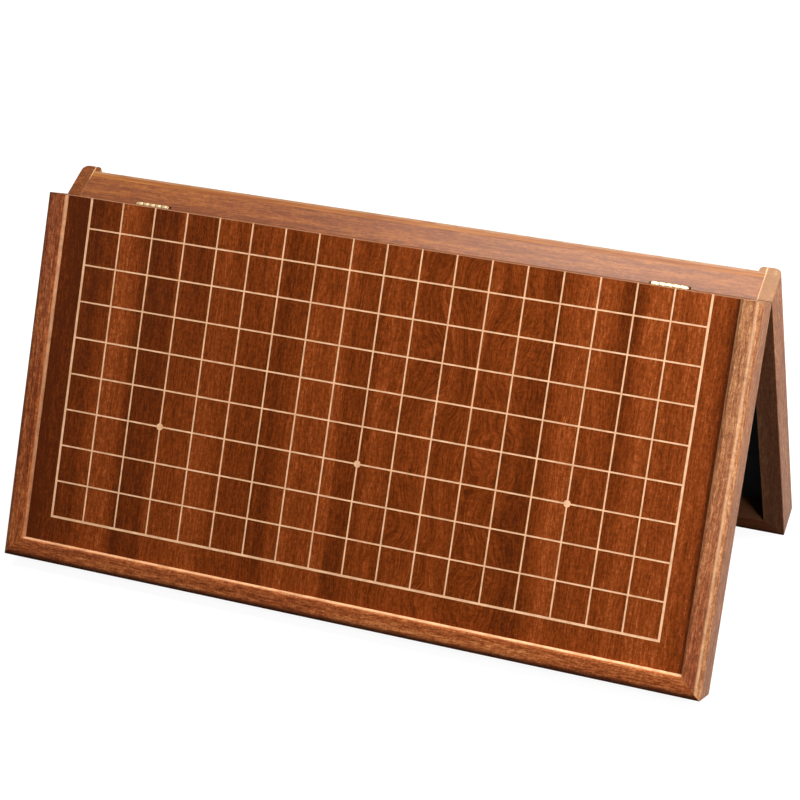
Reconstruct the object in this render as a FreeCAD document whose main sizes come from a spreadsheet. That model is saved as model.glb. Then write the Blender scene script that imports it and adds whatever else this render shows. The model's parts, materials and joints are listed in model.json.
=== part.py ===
import FreeCAD, Part

import math
import os

import Sketcher

# A folding go board stood up as a tent.  Two framed leaves share a hinge line along X at the top.
# Each leaf is modelled lying flat: x along the board, the hinge edge at y = 0, the leaf towards -y,
# its underside at z = 0 and its play side up.  Placements then lean the leaves against each other.

Vector = FreeCAD.Vector
document = FreeCAD.newDocument("GoBoard")

KNUCKLES = 5  # on each hinge: the front leaf has the odd ones, the rear leaf the two between
NOISE = 1e-9  # lengths below this are rounding

# ---------------------------------------------------------------------------------------------
# Driving dimensions, in millimetres and degrees
# ---------------------------------------------------------------------------------------------
DIMENSIONS = [
    ("leaf_length", 480.0, "length of a leaf along the hinge line"),
    ("leaf_depth", 243.0, "hinge edge to outer edge"),
    ("play_height", 23.0, "underside to play surface"),
    ("lip_rise", 4.0, "lip above the play surface"),
    ("rail_width", 14.0, "width of the rails that carry the lip"),
    ("hinge_rail_width", 16.0, "width of the rail behind the hinge edge"),
    ("panel_thickness", 5.0, "play panel"),
    ("housing_depth", 4.5, "how far the panel and hinge rail enter the other rails"),
    ("lip_inner_round", 3.0, "radius along the inside of the lip"),
    ("lip_outer_round", 4.5, "radius along the outside of the lip"),
    ("edge_ease", 0.8, "radius along the lower outer edge"),
    ("corner_ease", 1.6, "radius at the two outer corners seen from above"),
    ("column_count", 19, "lines that run away from the hinge"),
    ("row_count", 9, "lines along the board on one leaf"),
    ("line_margin", 17.2, "outermost lines to the lip"),
    ("seam_margin", 19.8, "line nearest the hinge edge to that edge"),
    ("line_width", 1.0, "inner lines"),
    ("border_width", 1.5, "outermost lines"),
    ("line_height", 0.1, "how far the lines stand above the play surface"),
    ("star_diameter", 4.5, "star points"),
    ("star_column_count", 6, "columns between star points"),
    ("star_row_count", 3, "rows from the border to the star points"),
    ("lean_angle", 24.2, "each leaf from upright"),
    ("leaf_gap", 0.15, "hinge axis outside each leaf's lower hinge corner"),
    ("hinge_setback", 63.6, "end of a leaf to the middle of a hinge"),
    ("hinge_length", 22.0, "length of a hinge"),
    ("knuckle_gap", 0.3, "between neighbouring knuckles"),
    ("barrel_diameter", 3.4, "hinge barrel"),
    ("barrel_relief", 0.4, "air around the barrel in the hinge rails"),
    ("plate_thickness", 1.2, "hinge plates"),
    ("plate_width", 12.0, "hinge corner to the far edge of a plate"),
    ("mortise_margin", 2.1, "hinge mortise beyond each end of the hinge"),
    ("pin_diameter", 1.6, "hinge pin"),
    ("pin_play", 0.05, "radial play of the pin"),
    ("pin_head_diameter", 2.6, "round head on each end of a pin"),
    ("pin_head_length", 0.8, "length of a pin head"),
    ("screw_spacing", 14.0, "between the two screws of a plate"),
    ("screw_setback", 7.4, "hinge corner to the screws"),
    ("screw_head_diameter", 4.6, "countersunk head"),
    ("screw_shank_diameter", 2.4, "screw shank"),
    ("screw_length", 11.0, "whole screw"),
    ("screw_slot_width", 0.6, "slot across the screw head"),
    ("screw_slot_depth", 0.6, "depth of that slot"),
    ("lining_thickness", 1.0, "felt in the wells and drawers"),
    ("divider_thickness", 8.0, "cross rail between the well and the drawer bay"),
    ("bay_floor_thickness", 3.0, "panel under the drawer"),
    ("slot_margin", 24.0, "hinge edge, and outer edge, to the drawer slot"),
    ("drawer_side_play", 0.4, "drawer to the slot, on each side"),
    ("drawer_top_play", 0.4, "drawer to the play panel"),
    ("drawer_floor_play", 0.3, "drawer to the bay floor"),
    ("drawer_back_play", 0.3, "closed drawer to the divider"),
    ("drawer_front_thickness", 12.0, "drawer front"),
    ("drawer_wall", 6.0, "drawer sides and back"),
    ("drawer_bottom_thickness", 2.0, "drawer bottom"),
    ("drawer_travel", 170.0, "how far a drawer slides out"),
    ("notch_width", 34.0, "finger notch in a drawer front"),
    ("notch_depth", 8.0, "depth of the finger notch"),
    ("notch_round", 3.5, "radius in the corners of the notch"),
    ("peg_diameter", 4.0, "stop pegs on the drawer sides"),
    ("peg_reach", 3.5, "stop peg beyond the drawer side"),
    ("peg_seat", 4.0, "stop peg inside the drawer side"),
    ("peg_setback", 9.0, "back of the drawer to the stop pegs"),
    ("peg_play", 0.4, "stop pegs to their groove"),
]

sheet = document.addObject("Spreadsheet::Sheet", "Sizes")
for row, (alias, value, meaning) in enumerate(DIMENSIONS, start=1):
    sheet.set(f"A{row}", alias)
    sheet.set(f"B{row}", str(value))
    sheet.set(f"C{row}", meaning)
    sheet.setAlias(f"B{row}", alias)
document.recompute()


# ---------------------------------------------------------------------------------------------
# Sizes that stay bound to the sheet
# ---------------------------------------------------------------------------------------------
class Size:
    """A spreadsheet expression together with the number that it has now."""

    def __init__(self, text, number):
        self.text = text
        self.number = number

    def join(self, other, sign, number):
        return Size(f"({self.text} {sign} {other.text})", number)

    def __add__(self, other):
        other = as_size(other)
        return self.join(other, "+", self.number + other.number)

    def __sub__(self, other):
        other = as_size(other)
        return self.join(other, "-", self.number - other.number)

    def __mul__(self, other):
        other = as_size(other)
        return self.join(other, "*", self.number * other.number)

    def __truediv__(self, other):
        other = as_size(other)
        return self.join(other, "/", self.number / other.number)

    def __rmul__(self, other):
        return as_size(other) * self

    def __neg__(self):
        return Size(f"(-1 * {self.text})", -self.number)


def as_size(value):
    """Turn a plain number into a Size, and leave a Size as it is."""
    return value if isinstance(value, Size) else Size(repr(value), float(value))


def sine(angle):
    return Size(f"sin({angle.text})", math.sin(math.radians(angle.number)))


def cosine(angle):
    return Size(f"cos({angle.text})", math.cos(math.radians(angle.number)))


size = {alias: Size(f"Sizes.{alias}", float(sheet.get(alias))) for alias, _, _ in DIMENSIONS}
ZERO = as_size(0)
OVERCUT = as_size(1)  # how far a cut starts outside the wood

half_length = size["leaf_length"] / 2
leaf_depth = size["leaf_depth"]
rail = size["rail_width"]
play = size["play_height"]
panel_under = play - size["panel_thickness"]
lip_top = play + size["lip_rise"]
inner_half = half_length - rail
inner_depth = leaf_depth - rail
housed_half = inner_half + size["housing_depth"]
housed_depth = inner_depth + size["housing_depth"]

border_depth = inner_depth - size["line_margin"]
half_border_span = inner_half - size["line_margin"]
column_pitch = half_border_span * 2 / (size["column_count"] - 1)
row_pitch = (border_depth - size["seam_margin"]) / (size["row_count"] - 1)
half_border_line = size["border_width"] / 2
half_line = size["line_width"] / 2
star_depth = border_depth - row_pitch * size["star_row_count"]
star_radius = size["star_diameter"] / 2

half_divider = size["divider_thickness"] / 2
bay_near = size["hinge_rail_width"]
bay_low = size["bay_floor_thickness"]
slot_near = size["slot_margin"]
slot_far = leaf_depth - size["slot_margin"]
drawer_near = slot_near + size["drawer_side_play"]
drawer_far = slot_far - size["drawer_side_play"]
drawer_low = bay_low + size["drawer_floor_play"]
drawer_high = panel_under - size["drawer_top_play"]
drawer_end = half_divider + size["drawer_back_play"]
drawer_face = half_length - size["drawer_front_thickness"]
drawer_bed = drawer_low + size["drawer_bottom_thickness"]
inside_near = drawer_near + size["drawer_wall"]
inside_far = drawer_far - size["drawer_wall"]
inside_end = drawer_end + size["drawer_wall"]

peg_radius = size["peg_diameter"] / 2
peg_x = drawer_end + size["peg_setback"]
peg_z = (drawer_low + drawer_high) / 2
groove_half = peg_radius + size["peg_play"]
groove_front = peg_x + size["drawer_travel"] + groove_half
groove_depth = size["peg_reach"] + size["peg_play"]

barrel_radius = size["barrel_diameter"] / 2
relief_radius = barrel_radius + size["barrel_relief"]
half_hinge = size["hinge_length"] / 2
hinge_offset = half_length - size["hinge_setback"]
knuckle_length = size["hinge_length"] / KNUCKLES
plate_start = relief_radius - size["leaf_gap"]
screw_radius = size["screw_shank_diameter"] / 2
screw_head_radius = size["screw_head_diameter"] / 2
screw_head_depth = screw_head_radius - screw_radius

# Where the leaves stand: the rounded lower outer edge of each leaf touches z = 0.
tilt = as_size(90) - size["lean_angle"]
sin_lean = sine(size["lean_angle"])
cos_lean = cosine(size["lean_angle"])
hinge_height = (leaf_depth - size["edge_ease"] + size["leaf_gap"]) * cos_lean \
    - (size["edge_ease"] + size["leaf_gap"]) * sin_lean + size["edge_ease"]
leaf_lift = hinge_height + size["leaf_gap"] * (sin_lean - cos_lean)
leaf_reach = size["leaf_gap"] * (sin_lean + cos_lean)

NODES = []


# ---------------------------------------------------------------------------------------------
# Ways of making a sub-part
# ---------------------------------------------------------------------------------------------
# The plane of a drawing, and the signs that turn its two measures into the plane's own.
VIEWS = {
    "plan": ("XY_Plane", 1, -1),  # (x, depth), swept upwards
    "end": ("YZ_Plane", -1, 1),   # (depth, z), swept along x
    "long": ("XZ_Plane", 1, 1),   # (x, z), swept away from the hinge
}


def origin_part(body, role):
    """Find one of the body's own origin planes or axes."""
    for feature in body.Origin.OriginFeatures:
        if feature.Role == role:
            return feature
    raise ValueError(role)


def place(body, leaf):
    """Lean a piece with its leaf: the rear leaf is the front one turned half round."""
    if leaf == "front":
        turn = FreeCAD.Rotation(Vector(1, 0, 0), tilt.number)
        body.Placement = FreeCAD.Placement(Vector(0, -leaf_reach.number, leaf_lift.number), turn)
        body.setExpression("Placement.Rotation.Angle", tilt.text)
        body.setExpression("Placement.Base.y", (-leaf_reach).text)
    else:
        rise = sine(tilt / 2)
        run = cosine(tilt / 2)
        turn = FreeCAD.Rotation(Vector(0, rise.number, run.number), 180)
        body.Placement = FreeCAD.Placement(Vector(0, leaf_reach.number, leaf_lift.number), turn)
        body.setExpression("Placement.Rotation.Axis.y", rise.text)
        body.setExpression("Placement.Rotation.Axis.z", run.text)
        body.setExpression("Placement.Base.y", leaf_reach.text)
    body.setExpression("Placement.Base.z", leaf_lift.text)


def new_body(leaf, name):
    """Start a sub-part of one leaf."""
    body = document.addObject("PartDesign::Body", name)
    body.Label = name
    body.AllowCompound = True
    place(body, leaf)
    NODES.append(body)
    return body


def new_sketch(body, view, start, name, axis_x=ZERO):
    """Lay a sketch on one of the body's planes, moved to where its sweep starts."""
    sketch = body.newObject("Sketcher::SketchObject", f"{body.Name}_{name}_sketch")
    sketch.AttachmentSupport = [(origin_part(body, VIEWS[view][0]), "")]
    sketch.MapMode = "FlatFace"
    offset = Vector(axis_x.number, 0, start.number)
    sketch.AttachmentOffset = FreeCAD.Placement(offset, FreeCAD.Rotation())
    sketch.setExpression("AttachmentOffset.Base.x", axis_x.text)
    sketch.setExpression("AttachmentOffset.Base.z", start.text)
    return sketch


def hold(sketch, edge, end, across, up):
    """Tie a point of a sketch to its two measures from the sketch's origin."""
    for kind, measure in (("DistanceX", across), ("DistanceY", up)):
        number = sketch.addConstraint(Sketcher.Constraint(kind, -1, 1, edge, end, measure.number))
        sketch.setExpression(f"Constraints[{number}]", measure.text)


def sign(number):
    """Give -1, 0 or 1, and take rounding noise as 0."""
    return 0 if abs(number) < NOISE else int(math.copysign(1, number))


def point(across, up):
    return Vector(across.number, up.number, 0)


def stations(corners):
    """Spread each rounded corner into the two ends of its arc, and keep every place once."""
    spread = []
    for index, (across, up, *rounding) in enumerate(corners):
        if not rounding:
            spread.append((across, up, None))
            continue
        radius = rounding[0]
        ends = []
        for neighbour in (corners[index - 1], corners[(index + 1) % len(corners)]):
            step_across = sign(neighbour[0].number - across.number)
            step_up = sign(neighbour[1].number - up.number)
            ends.append((across + radius * step_across, up + radius * step_up))
        spread.append((*ends[0], (radius, point(across, up))))
        spread.append((*ends[1], None))
    kept = []
    for station in spread:
        if kept and point(*kept[-1][:2]).distanceToPoint(point(*station[:2])) < NOISE:
            kept.pop()
        kept.append(station)
    return kept


def arc_between(start, stop, radius, corner):
    """Draw the quarter round from start to stop inside a square corner."""
    centre = start + stop - corner
    first = math.atan2(start.y - centre.y, start.x - centre.x)
    last = math.atan2(stop.y - centre.y, stop.x - centre.x)
    circle = Part.Circle(centre, Vector(0, 0, 1), radius)
    if math.sin(last - first) > 0:
        return Part.ArcOfCircle(circle, first, last), 1, 2
    return Part.ArcOfCircle(circle, last, first), 2, 1


def outline(body, view, corners, start, name):
    """Draw a closed outline.  A corner may carry a radius where its two edges are square."""
    _, across_sign, up_sign = VIEWS[view]
    sketch = new_sketch(body, view, start, name)
    places = stations([(across_sign * across, up_sign * up, *rounding)
                       for across, up, *rounding in corners])
    edges = []
    for index, (across, up, arc) in enumerate(places):
        following = places[(index + 1) % len(places)]
        first = point(across, up)
        last = point(following[0], following[1])
        if arc is None:
            edges.append((sketch.addGeometry(Part.LineSegment(first, last)), 1, 2))
            continue
        radius, corner = arc
        curve, head, tail = arc_between(first, last, radius.number, corner)
        number = sketch.addGeometry(curve)
        edges.append((number, head, tail))
        bound = sketch.addConstraint(Sketcher.Constraint("Radius", number, radius.number))
        sketch.setExpression(f"Constraints[{bound}]", radius.text)
    for index, (number, head, _) in enumerate(edges):
        before, _, tail = edges[index - 1]
        sketch.addConstraint(Sketcher.Constraint("Coincident", before, tail, number, head))
        hold(sketch, number, head, places[index][0], places[index][1])
    return sketch


def ring(body, view, across, up, radius, start, name):
    """Draw a circle."""
    _, across_sign, up_sign = VIEWS[view]
    sketch = new_sketch(body, view, start, name)
    across = across_sign * across
    up = up_sign * up
    circle = Part.Circle(Vector(across.number, up.number, 0), Vector(0, 0, 1), radius.number)
    number = sketch.addGeometry(circle)
    bound = sketch.addConstraint(Sketcher.Constraint("Radius", number, radius.number))
    sketch.setExpression(f"Constraints[{bound}]", radius.text)
    hold(sketch, number, 3, across, up)
    return sketch


def sweep(body, sketch, start, stop, name, cut=False):
    """Add, or cut away, the sketch's outline from start to stop along its plane's normal."""
    kind = "Pocket" if cut else "Pad"
    feature = body.newObject(f"PartDesign::{kind}", f"{body.Name}_{name}")
    feature.Profile = sketch
    feature.Reversed = cut
    length = stop - start
    feature.Length = length.number
    feature.setExpression("Length", length.text)
    return feature


def slab(body, view, corners, start, stop, name, cut=False):
    """Add or cut a prism."""
    return sweep(body, outline(body, view, corners, start, name), start, stop, name, cut)


def rod(body, view, across, up, radius, start, stop, name, cut=False):
    """Add or cut a cylinder."""
    return sweep(body, ring(body, view, across, up, radius, start, name), start, stop, name, cut)


def turned(body, axis_x, axis_depth, corners, name, cut=False):
    """Add or cut a solid of revolution about an upright axis; corners are (radius, z)."""
    sketch = new_sketch(body, "long", axis_depth, name, axis_x)
    spots = [Vector(radius.number, height.number, 0) for radius, height in corners]
    numbers = [sketch.addGeometry(Part.LineSegment(spots[index - 1], spots[index]))
               for index in range(len(spots))]
    for index, number in enumerate(numbers):
        following = numbers[(index + 1) % len(numbers)]
        sketch.addConstraint(Sketcher.Constraint("Coincident", number, 2, following, 1))
        hold(sketch, number, 2, corners[index][0], corners[index][1])
    kind = "Groove" if cut else "Revolution"
    feature = body.newObject(f"PartDesign::{kind}", f"{body.Name}_{name}")
    feature.Profile = sketch
    feature.ReferenceAxis = (sketch, ["V_Axis"])
    feature.Angle = 360
    return feature


def rectangle(low, near, high, far):
    """Corners of a rectangle between two opposite ones."""
    return [(low, near), (high, near), (high, far), (low, far)]


def span(end, inner, outer):
    """Order two distances from the middle as they lie along x at this end of the leaf."""
    return (inner, outer) if end > 0 else (-outer, -inner)


# ---------------------------------------------------------------------------------------------
# The play panel and its lines
# ---------------------------------------------------------------------------------------------
def make_play_panel(leaf):
    body = new_body(leaf, f"{leaf}_play_panel")
    board = rectangle(-housed_half, ZERO, housed_half, housed_depth)
    slab(body, "plan", board, panel_under, play, "board")


def bind(item, path, measure):
    """Set a property of a Part primitive and tie it to the sheet."""
    item.setExpression(path, measure.text)


def line_strip(name, low_x, near, high_x, far):
    """Make one straight line on the play surface."""
    strip = document.addObject("Part::Box", name)
    bind(strip, "Length", high_x - low_x)
    bind(strip, "Width", far - near)
    bind(strip, "Height", size["line_height"])
    bind(strip, "Placement.Base.x", low_x)
    bind(strip, "Placement.Base.y", -far)
    bind(strip, "Placement.Base.z", play)
    return strip


def star_disc(name, middle_x):
    """Make one star point."""
    disc = document.addObject("Part::Cylinder", name)
    bind(disc, "Radius", star_radius)
    bind(disc, "Height", size["line_height"])
    bind(disc, "Placement.Base.x", middle_x)
    bind(disc, "Placement.Base.y", -star_depth)
    bind(disc, "Placement.Base.z", play)
    return disc


def make_grid_lines(leaf):
    """Make the lines and star points of one leaf as one thin layer; the outermost are wider."""
    layer = []
    last_column = int(size["column_count"].number) - 1
    for column in range(last_column + 1):
        middle = column_pitch * column - half_border_span
        half = half_border_line if column in (0, last_column) else half_line
        layer.append(line_strip(f"{leaf}_column_{column}", middle - half, ZERO,
                                middle + half, border_depth))
    for row in range(int(size["row_count"].number)):
        middle = border_depth - row_pitch * row
        half = half_line if row else half_border_line
        layer.append(line_strip(f"{leaf}_row_{row}", -half_border_span - half_border_line,
                                middle - half, half_border_span + half_border_line, middle + half))
    for place_in_row in (-1, 0, 1):
        star_x = column_pitch * size["star_column_count"] * place_in_row
        layer.append(star_disc(f"{leaf}_star_{place_in_row + 1}", star_x))
    lines = document.addObject("Part::MultiFuse", f"{leaf}_grid_lines")
    lines.Label = lines.Name
    lines.Shapes = layer
    lines.Refine = False
    place(lines, leaf)
    NODES.append(lines)


# ---------------------------------------------------------------------------------------------
# The frame of a leaf
# ---------------------------------------------------------------------------------------------
def rail_section(outer_face, end=1):
    """Section of a lipped rail with the panel's groove, from its lower inner corner round."""
    inner_face = outer_face - rail
    housed_face = inner_face + size["housing_depth"]
    section = [
        (inner_face, ZERO),
        (outer_face, ZERO, size["edge_ease"]),
        (outer_face, lip_top, size["lip_outer_round"]),
        (inner_face, lip_top, size["lip_inner_round"]),
        (inner_face, play),
        (housed_face, play),
        (housed_face, panel_under),
        (inner_face, panel_under),
    ]
    return [(end * across, *rest) for across, *rest in section]


def cut_corner(body, end):
    """Ease the upright edge where the outer rail meets a side rail."""
    ease = size["corner_ease"]
    corner = [
        (end * (half_length + OVERCUT), leaf_depth + OVERCUT),
        (end * (half_length - ease), leaf_depth + OVERCUT),
        (end * (half_length - ease), leaf_depth),
        (end * half_length, leaf_depth, ease),
        (end * half_length, leaf_depth - ease),
        (end * (half_length + OVERCUT), leaf_depth - ease),
    ]
    slab(body, "plan", corner, -OVERCUT, lip_top + OVERCUT, f"ease_{end + 1}", True)


def cut_mitre(body, end, keep_outer):
    """Cut the mitre of one corner, keeping the outer rail's side of it or the side rail's."""
    far = (end * (half_length + rail), leaf_depth + rail)
    near = (end * (half_length - rail * 2), leaf_depth - rail * 2)
    third = (far[0], near[1]) if keep_outer else (near[0], far[1])
    slab(body, "plan", [far, near, third], -OVERCUT, lip_top + OVERCUT, f"mitre_{end + 1}", True)


def make_outer_rail(leaf):
    body = new_body(leaf, f"{leaf}_outer_rail")
    slab(body, "end", rail_section(leaf_depth), -half_length, half_length, "bar")
    for end in (-1, 1):
        cut_mitre(body, end, True)
        cut_corner(body, end)


def make_side_rail(leaf, side, end, with_slot):
    """Make a side rail.  Its hinge end houses the hinge rail; one has the drawer's slot."""
    body = new_body(leaf, f"{leaf}_{side}_rail")
    slab(body, "long", rail_section(half_length, end), ZERO, leaf_depth, "bar")
    cut_mitre(body, end, False)
    cut_corner(body, end)
    housing = rectangle(end * (inner_half - OVERCUT), -OVERCUT, end * housed_half, bay_near)
    slab(body, "plan", housing, -OVERCUT, panel_under, "housing", True)
    if with_slot:
        start, stop = span(end, inner_half - OVERCUT, half_length + OVERCUT)
        slot = rectangle(slot_near, bay_low, slot_far, panel_under)
        slab(body, "end", slot, start, stop, "slot", True)


def make_hinge_rail(leaf):
    """Make the rail behind the hinge edge, with its hinge mortises and screw holes."""
    body = new_body(leaf, f"{leaf}_hinge_rail")
    bar = rectangle(-housed_half, ZERO, housed_half, bay_near)
    slab(body, "plan", bar, ZERO, panel_under, "bar")
    for end, side in ((-1, "low"), (1, "high")):
        middle = end * hinge_offset
        reach = half_hinge + size["mortise_margin"]
        mortise = rectangle(middle - half_hinge, -OVERCUT, middle + half_hinge, size["plate_width"])
        slab(body, "plan", mortise, -OVERCUT, size["plate_thickness"], f"mortise_{side}", True)
        rod(body, "end", -size["leaf_gap"], -size["leaf_gap"], relief_radius,
            middle - reach, middle + reach, f"barrel_{side}", True)
        for which in (-1, 1):
            screw_x = middle + size["screw_spacing"] / 2 * which
            rod(body, "plan", screw_x, size["screw_setback"], screw_radius,
                ZERO, size["screw_length"], f"hole_{side}_{which + 1}", True)


# ---------------------------------------------------------------------------------------------
# Inside a leaf: the lined well in one half, the drawer bay in the other
# ---------------------------------------------------------------------------------------------
def make_bay_divider(leaf):
    body = new_body(leaf, f"{leaf}_bay_divider")
    bar = rectangle(-half_divider, bay_near, half_divider, inner_depth)
    slab(body, "plan", bar, ZERO, panel_under, "bar")


def make_bay_floor(leaf, end):
    body = new_body(leaf, f"{leaf}_bay_floor")
    start, stop = span(end, half_divider, inner_half)
    board = rectangle(start, bay_near, stop, inner_depth)
    slab(body, "plan", board, ZERO, bay_low, "board")


def make_well_lining(leaf, end):
    """Line the underside of the play panel over the open well, away from the drawer's end."""
    body = new_body(leaf, f"{leaf}_well_lining")
    start, stop = span(-end, half_divider, inner_half)
    felt = rectangle(start, bay_near, stop, inner_depth)
    slab(body, "plan", felt, panel_under - size["lining_thickness"], panel_under, "felt")


def make_runner(leaf, end, edge, near, far, groove_near, groove_far):
    """Make a drawer runner with the stopped groove that its peg slides in."""
    body = new_body(leaf, f"{leaf}_{edge}_runner")
    start, stop = span(end, half_divider, inner_half)
    slab(body, "end", rectangle(near, bay_low, far, panel_under), start, stop, "strip")
    start, stop = span(end, half_divider - OVERCUT, groove_front)
    groove = rectangle(groove_near, peg_z - groove_half, groove_far, peg_z + groove_half)
    slab(body, "end", groove, start, stop, "groove", True)


# ---------------------------------------------------------------------------------------------
# The stone drawer
# ---------------------------------------------------------------------------------------------
def make_drawer_front(leaf, end):
    body = new_body(leaf, f"{leaf}_drawer_front")
    middle = (drawer_near + drawer_far) / 2
    notch_near = middle - size["notch_width"] / 2
    notch_far = middle + size["notch_width"] / 2
    notch_low = drawer_high - size["notch_depth"]
    face = [
        (drawer_near, drawer_low),
        (drawer_far, drawer_low),
        (drawer_far, drawer_high),
        (notch_far, drawer_high),
        (notch_far, notch_low, size["notch_round"]),
        (notch_near, notch_low, size["notch_round"]),
        (notch_near, drawer_high),
        (drawer_near, drawer_high),
    ]
    start, stop = span(end, drawer_face, half_length)
    slab(body, "end", face, start, stop, "face")


def make_drawer_side(leaf, end, edge, near, far):
    """Make a drawer side, drilled for its stop peg."""
    body = new_body(leaf, f"{leaf}_drawer_{edge}_side")
    start, stop = span(end, drawer_end, drawer_face)
    slab(body, "end", rectangle(near, drawer_low, far, drawer_high), start, stop, "board")
    start, stop = (near, near + size["peg_seat"]) if edge == "inner" else (far - size["peg_seat"], far)
    rod(body, "long", end * peg_x, peg_z, peg_radius, start, stop, "peg_hole", True)


def make_drawer_back(leaf, end):
    body = new_body(leaf, f"{leaf}_drawer_back")
    start, stop = span(end, drawer_end, inside_end)
    back = rectangle(inside_near, drawer_low, inside_far, drawer_high)
    slab(body, "end", back, start, stop, "board")


def make_drawer_bed(leaf, end, name, low, high):
    """Make a sheet that fills the drawer between its walls: the bottom, or the felt on it."""
    body = new_body(leaf, f"{leaf}_drawer_{name}")
    start, stop = span(end, inside_end, drawer_face)
    slab(body, "plan", rectangle(start, inside_near, stop, inside_far), low, high, "sheet")


def make_drawer_pegs(leaf, end):
    body = new_body(leaf, f"{leaf}_drawer_stop_pegs")
    for name, near, far in (
            ("inner", drawer_near - size["peg_reach"], drawer_near + size["peg_seat"]),
            ("outer", drawer_far - size["peg_seat"], drawer_far + size["peg_reach"])):
        rod(body, "long", end * peg_x, peg_z, peg_radius, near, far, name)


# ---------------------------------------------------------------------------------------------
# The two butt hinges
# ---------------------------------------------------------------------------------------------
def screw_places(middle):
    half = size["screw_spacing"] / 2
    return [middle - half, middle + half]


def make_hinge_plate(leaf, side, middle, knuckles):
    """Make one leaf's half of a hinge: its plate, its knuckles and the countersunk holes."""
    body = new_body(leaf, f"{side}_hinge_{leaf}_plate")
    gap = size["leaf_gap"]
    start = middle - half_hinge
    stop = middle + half_hinge
    thickness = size["plate_thickness"]
    flat = rectangle(start, plate_start, stop, size["plate_width"])
    slab(body, "plan", flat, ZERO, thickness, "flat")
    for knuckle in knuckles:
        low = start + knuckle_length * knuckle
        high = low + knuckle_length
        if knuckle > 0:
            low = low + size["knuckle_gap"] / 2
        if knuckle < KNUCKLES - 1:
            high = high - size["knuckle_gap"] / 2
        rod(body, "end", -gap, -gap, barrel_radius, low, high, f"knuckle_{knuckle}")
        tab = rectangle(low, ZERO, high, plate_start)
        slab(body, "plan", tab, ZERO, thickness, f"tab_{knuckle}")
    bore = size["pin_diameter"] / 2 + size["pin_play"]
    rod(body, "end", -gap, -gap, bore, start - OVERCUT, stop + OVERCUT, "bore", True)
    sink = [(ZERO, ZERO), (screw_head_radius, ZERO), (screw_radius, screw_head_depth),
            (screw_radius, thickness), (ZERO, thickness)]
    for number, screw_x in enumerate(screw_places(middle)):
        turned(body, screw_x, size["screw_setback"], sink, f"sink_{number}", True)


def make_hinge_pin(side, middle):
    """Make the pin, with a round head beyond each end of the hinge; it stays with the front leaf."""
    body = new_body("front", f"{side}_hinge_pin")
    start = middle - half_hinge
    stop = middle + half_hinge
    at = -size["leaf_gap"]
    rod(body, "end", at, at, size["pin_diameter"] / 2, start, stop, "shank")
    for name, low in (("low", start - size["pin_head_length"]), ("high", stop)):
        high = low + size["pin_head_length"]
        rod(body, "end", at, at, size["pin_head_diameter"] / 2, low, high, f"head_{name}")


def make_hinge_screws(leaf):
    """Make the four countersunk screws that hold this leaf's two hinge plates."""
    body = new_body(leaf, f"{leaf}_hinge_screws")
    tip = size["screw_length"] - screw_radius
    profile = [(ZERO, ZERO), (screw_head_radius, ZERO), (screw_radius, screw_head_depth),
               (screw_radius, tip), (ZERO, size["screw_length"])]
    half_slot = size["screw_slot_width"] / 2
    setback = size["screw_setback"]
    for end in (-1, 1):
        for number, screw_x in enumerate(screw_places(end * hinge_offset)):
            turned(body, screw_x, setback, profile, f"screw_{end + 1}_{number}")
            slot = rectangle(screw_x - half_slot, setback - screw_head_radius,
                             screw_x + half_slot, setback + screw_head_radius)
            slab(body, "plan", slot, -OVERCUT, size["screw_slot_depth"], f"slot_{end + 1}_{number}", True)


# ---------------------------------------------------------------------------------------------
# The whole board
# ---------------------------------------------------------------------------------------------
def make_leaf(leaf, drawer_side):
    """Make one leaf.  drawer_side is -1 or 1: where the drawer's end lies along the leaf's own x."""
    make_play_panel(leaf)
    make_grid_lines(leaf)
    make_outer_rail(leaf)
    make_hinge_rail(leaf)
    make_side_rail(leaf, "left", drawer_side, True)
    make_side_rail(leaf, "right", -drawer_side, False)
    make_bay_divider(leaf)
    make_bay_floor(leaf, drawer_side)
    make_well_lining(leaf, drawer_side)
    make_runner(leaf, drawer_side, "inner", bay_near, slot_near,
                slot_near - groove_depth, slot_near + OVERCUT)
    make_runner(leaf, drawer_side, "outer", slot_far, inner_depth,
                slot_far - OVERCUT, slot_far + groove_depth)
    make_drawer_front(leaf, drawer_side)
    make_drawer_side(leaf, drawer_side, "inner", drawer_near, inside_near)
    make_drawer_side(leaf, drawer_side, "outer", inside_far, drawer_far)
    make_drawer_back(leaf, drawer_side)
    make_drawer_bed(leaf, drawer_side, "bottom", drawer_low, drawer_bed)
    make_drawer_bed(leaf, drawer_side, "lining", drawer_bed, drawer_bed + size["lining_thickness"])
    make_drawer_pegs(leaf, drawer_side)
    make_hinge_screws(leaf)


def check(item):
    """Stop if an object failed to compute, or a cut took nothing away."""
    state = set(item.State)
    if state & {"Invalid", "Error"}:
        raise RuntimeError(f"{item.Name}: {sorted(state)}")
    if item.TypeId in ("PartDesign::Pocket", "PartDesign::Groove"):
        if item.Shape.Volume >= item.BaseFeature.Shape.Volume - NOISE:
            raise RuntimeError(f"{item.Name} cuts nothing")


make_leaf("front", -1)
make_leaf("rear", 1)
for hinge_side, toward in (("left", -1), ("right", 1)):
    hinge_middle = toward * hinge_offset
    make_hinge_plate("front", hinge_side, hinge_middle, range(0, KNUCKLES, 2))
    make_hinge_plate("rear", hinge_side, -hinge_middle, range(1, KNUCKLES, 2))
    make_hinge_pin(hinge_side, hinge_middle)

document.recompute()
for item in document.Objects:
    check(item)

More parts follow.
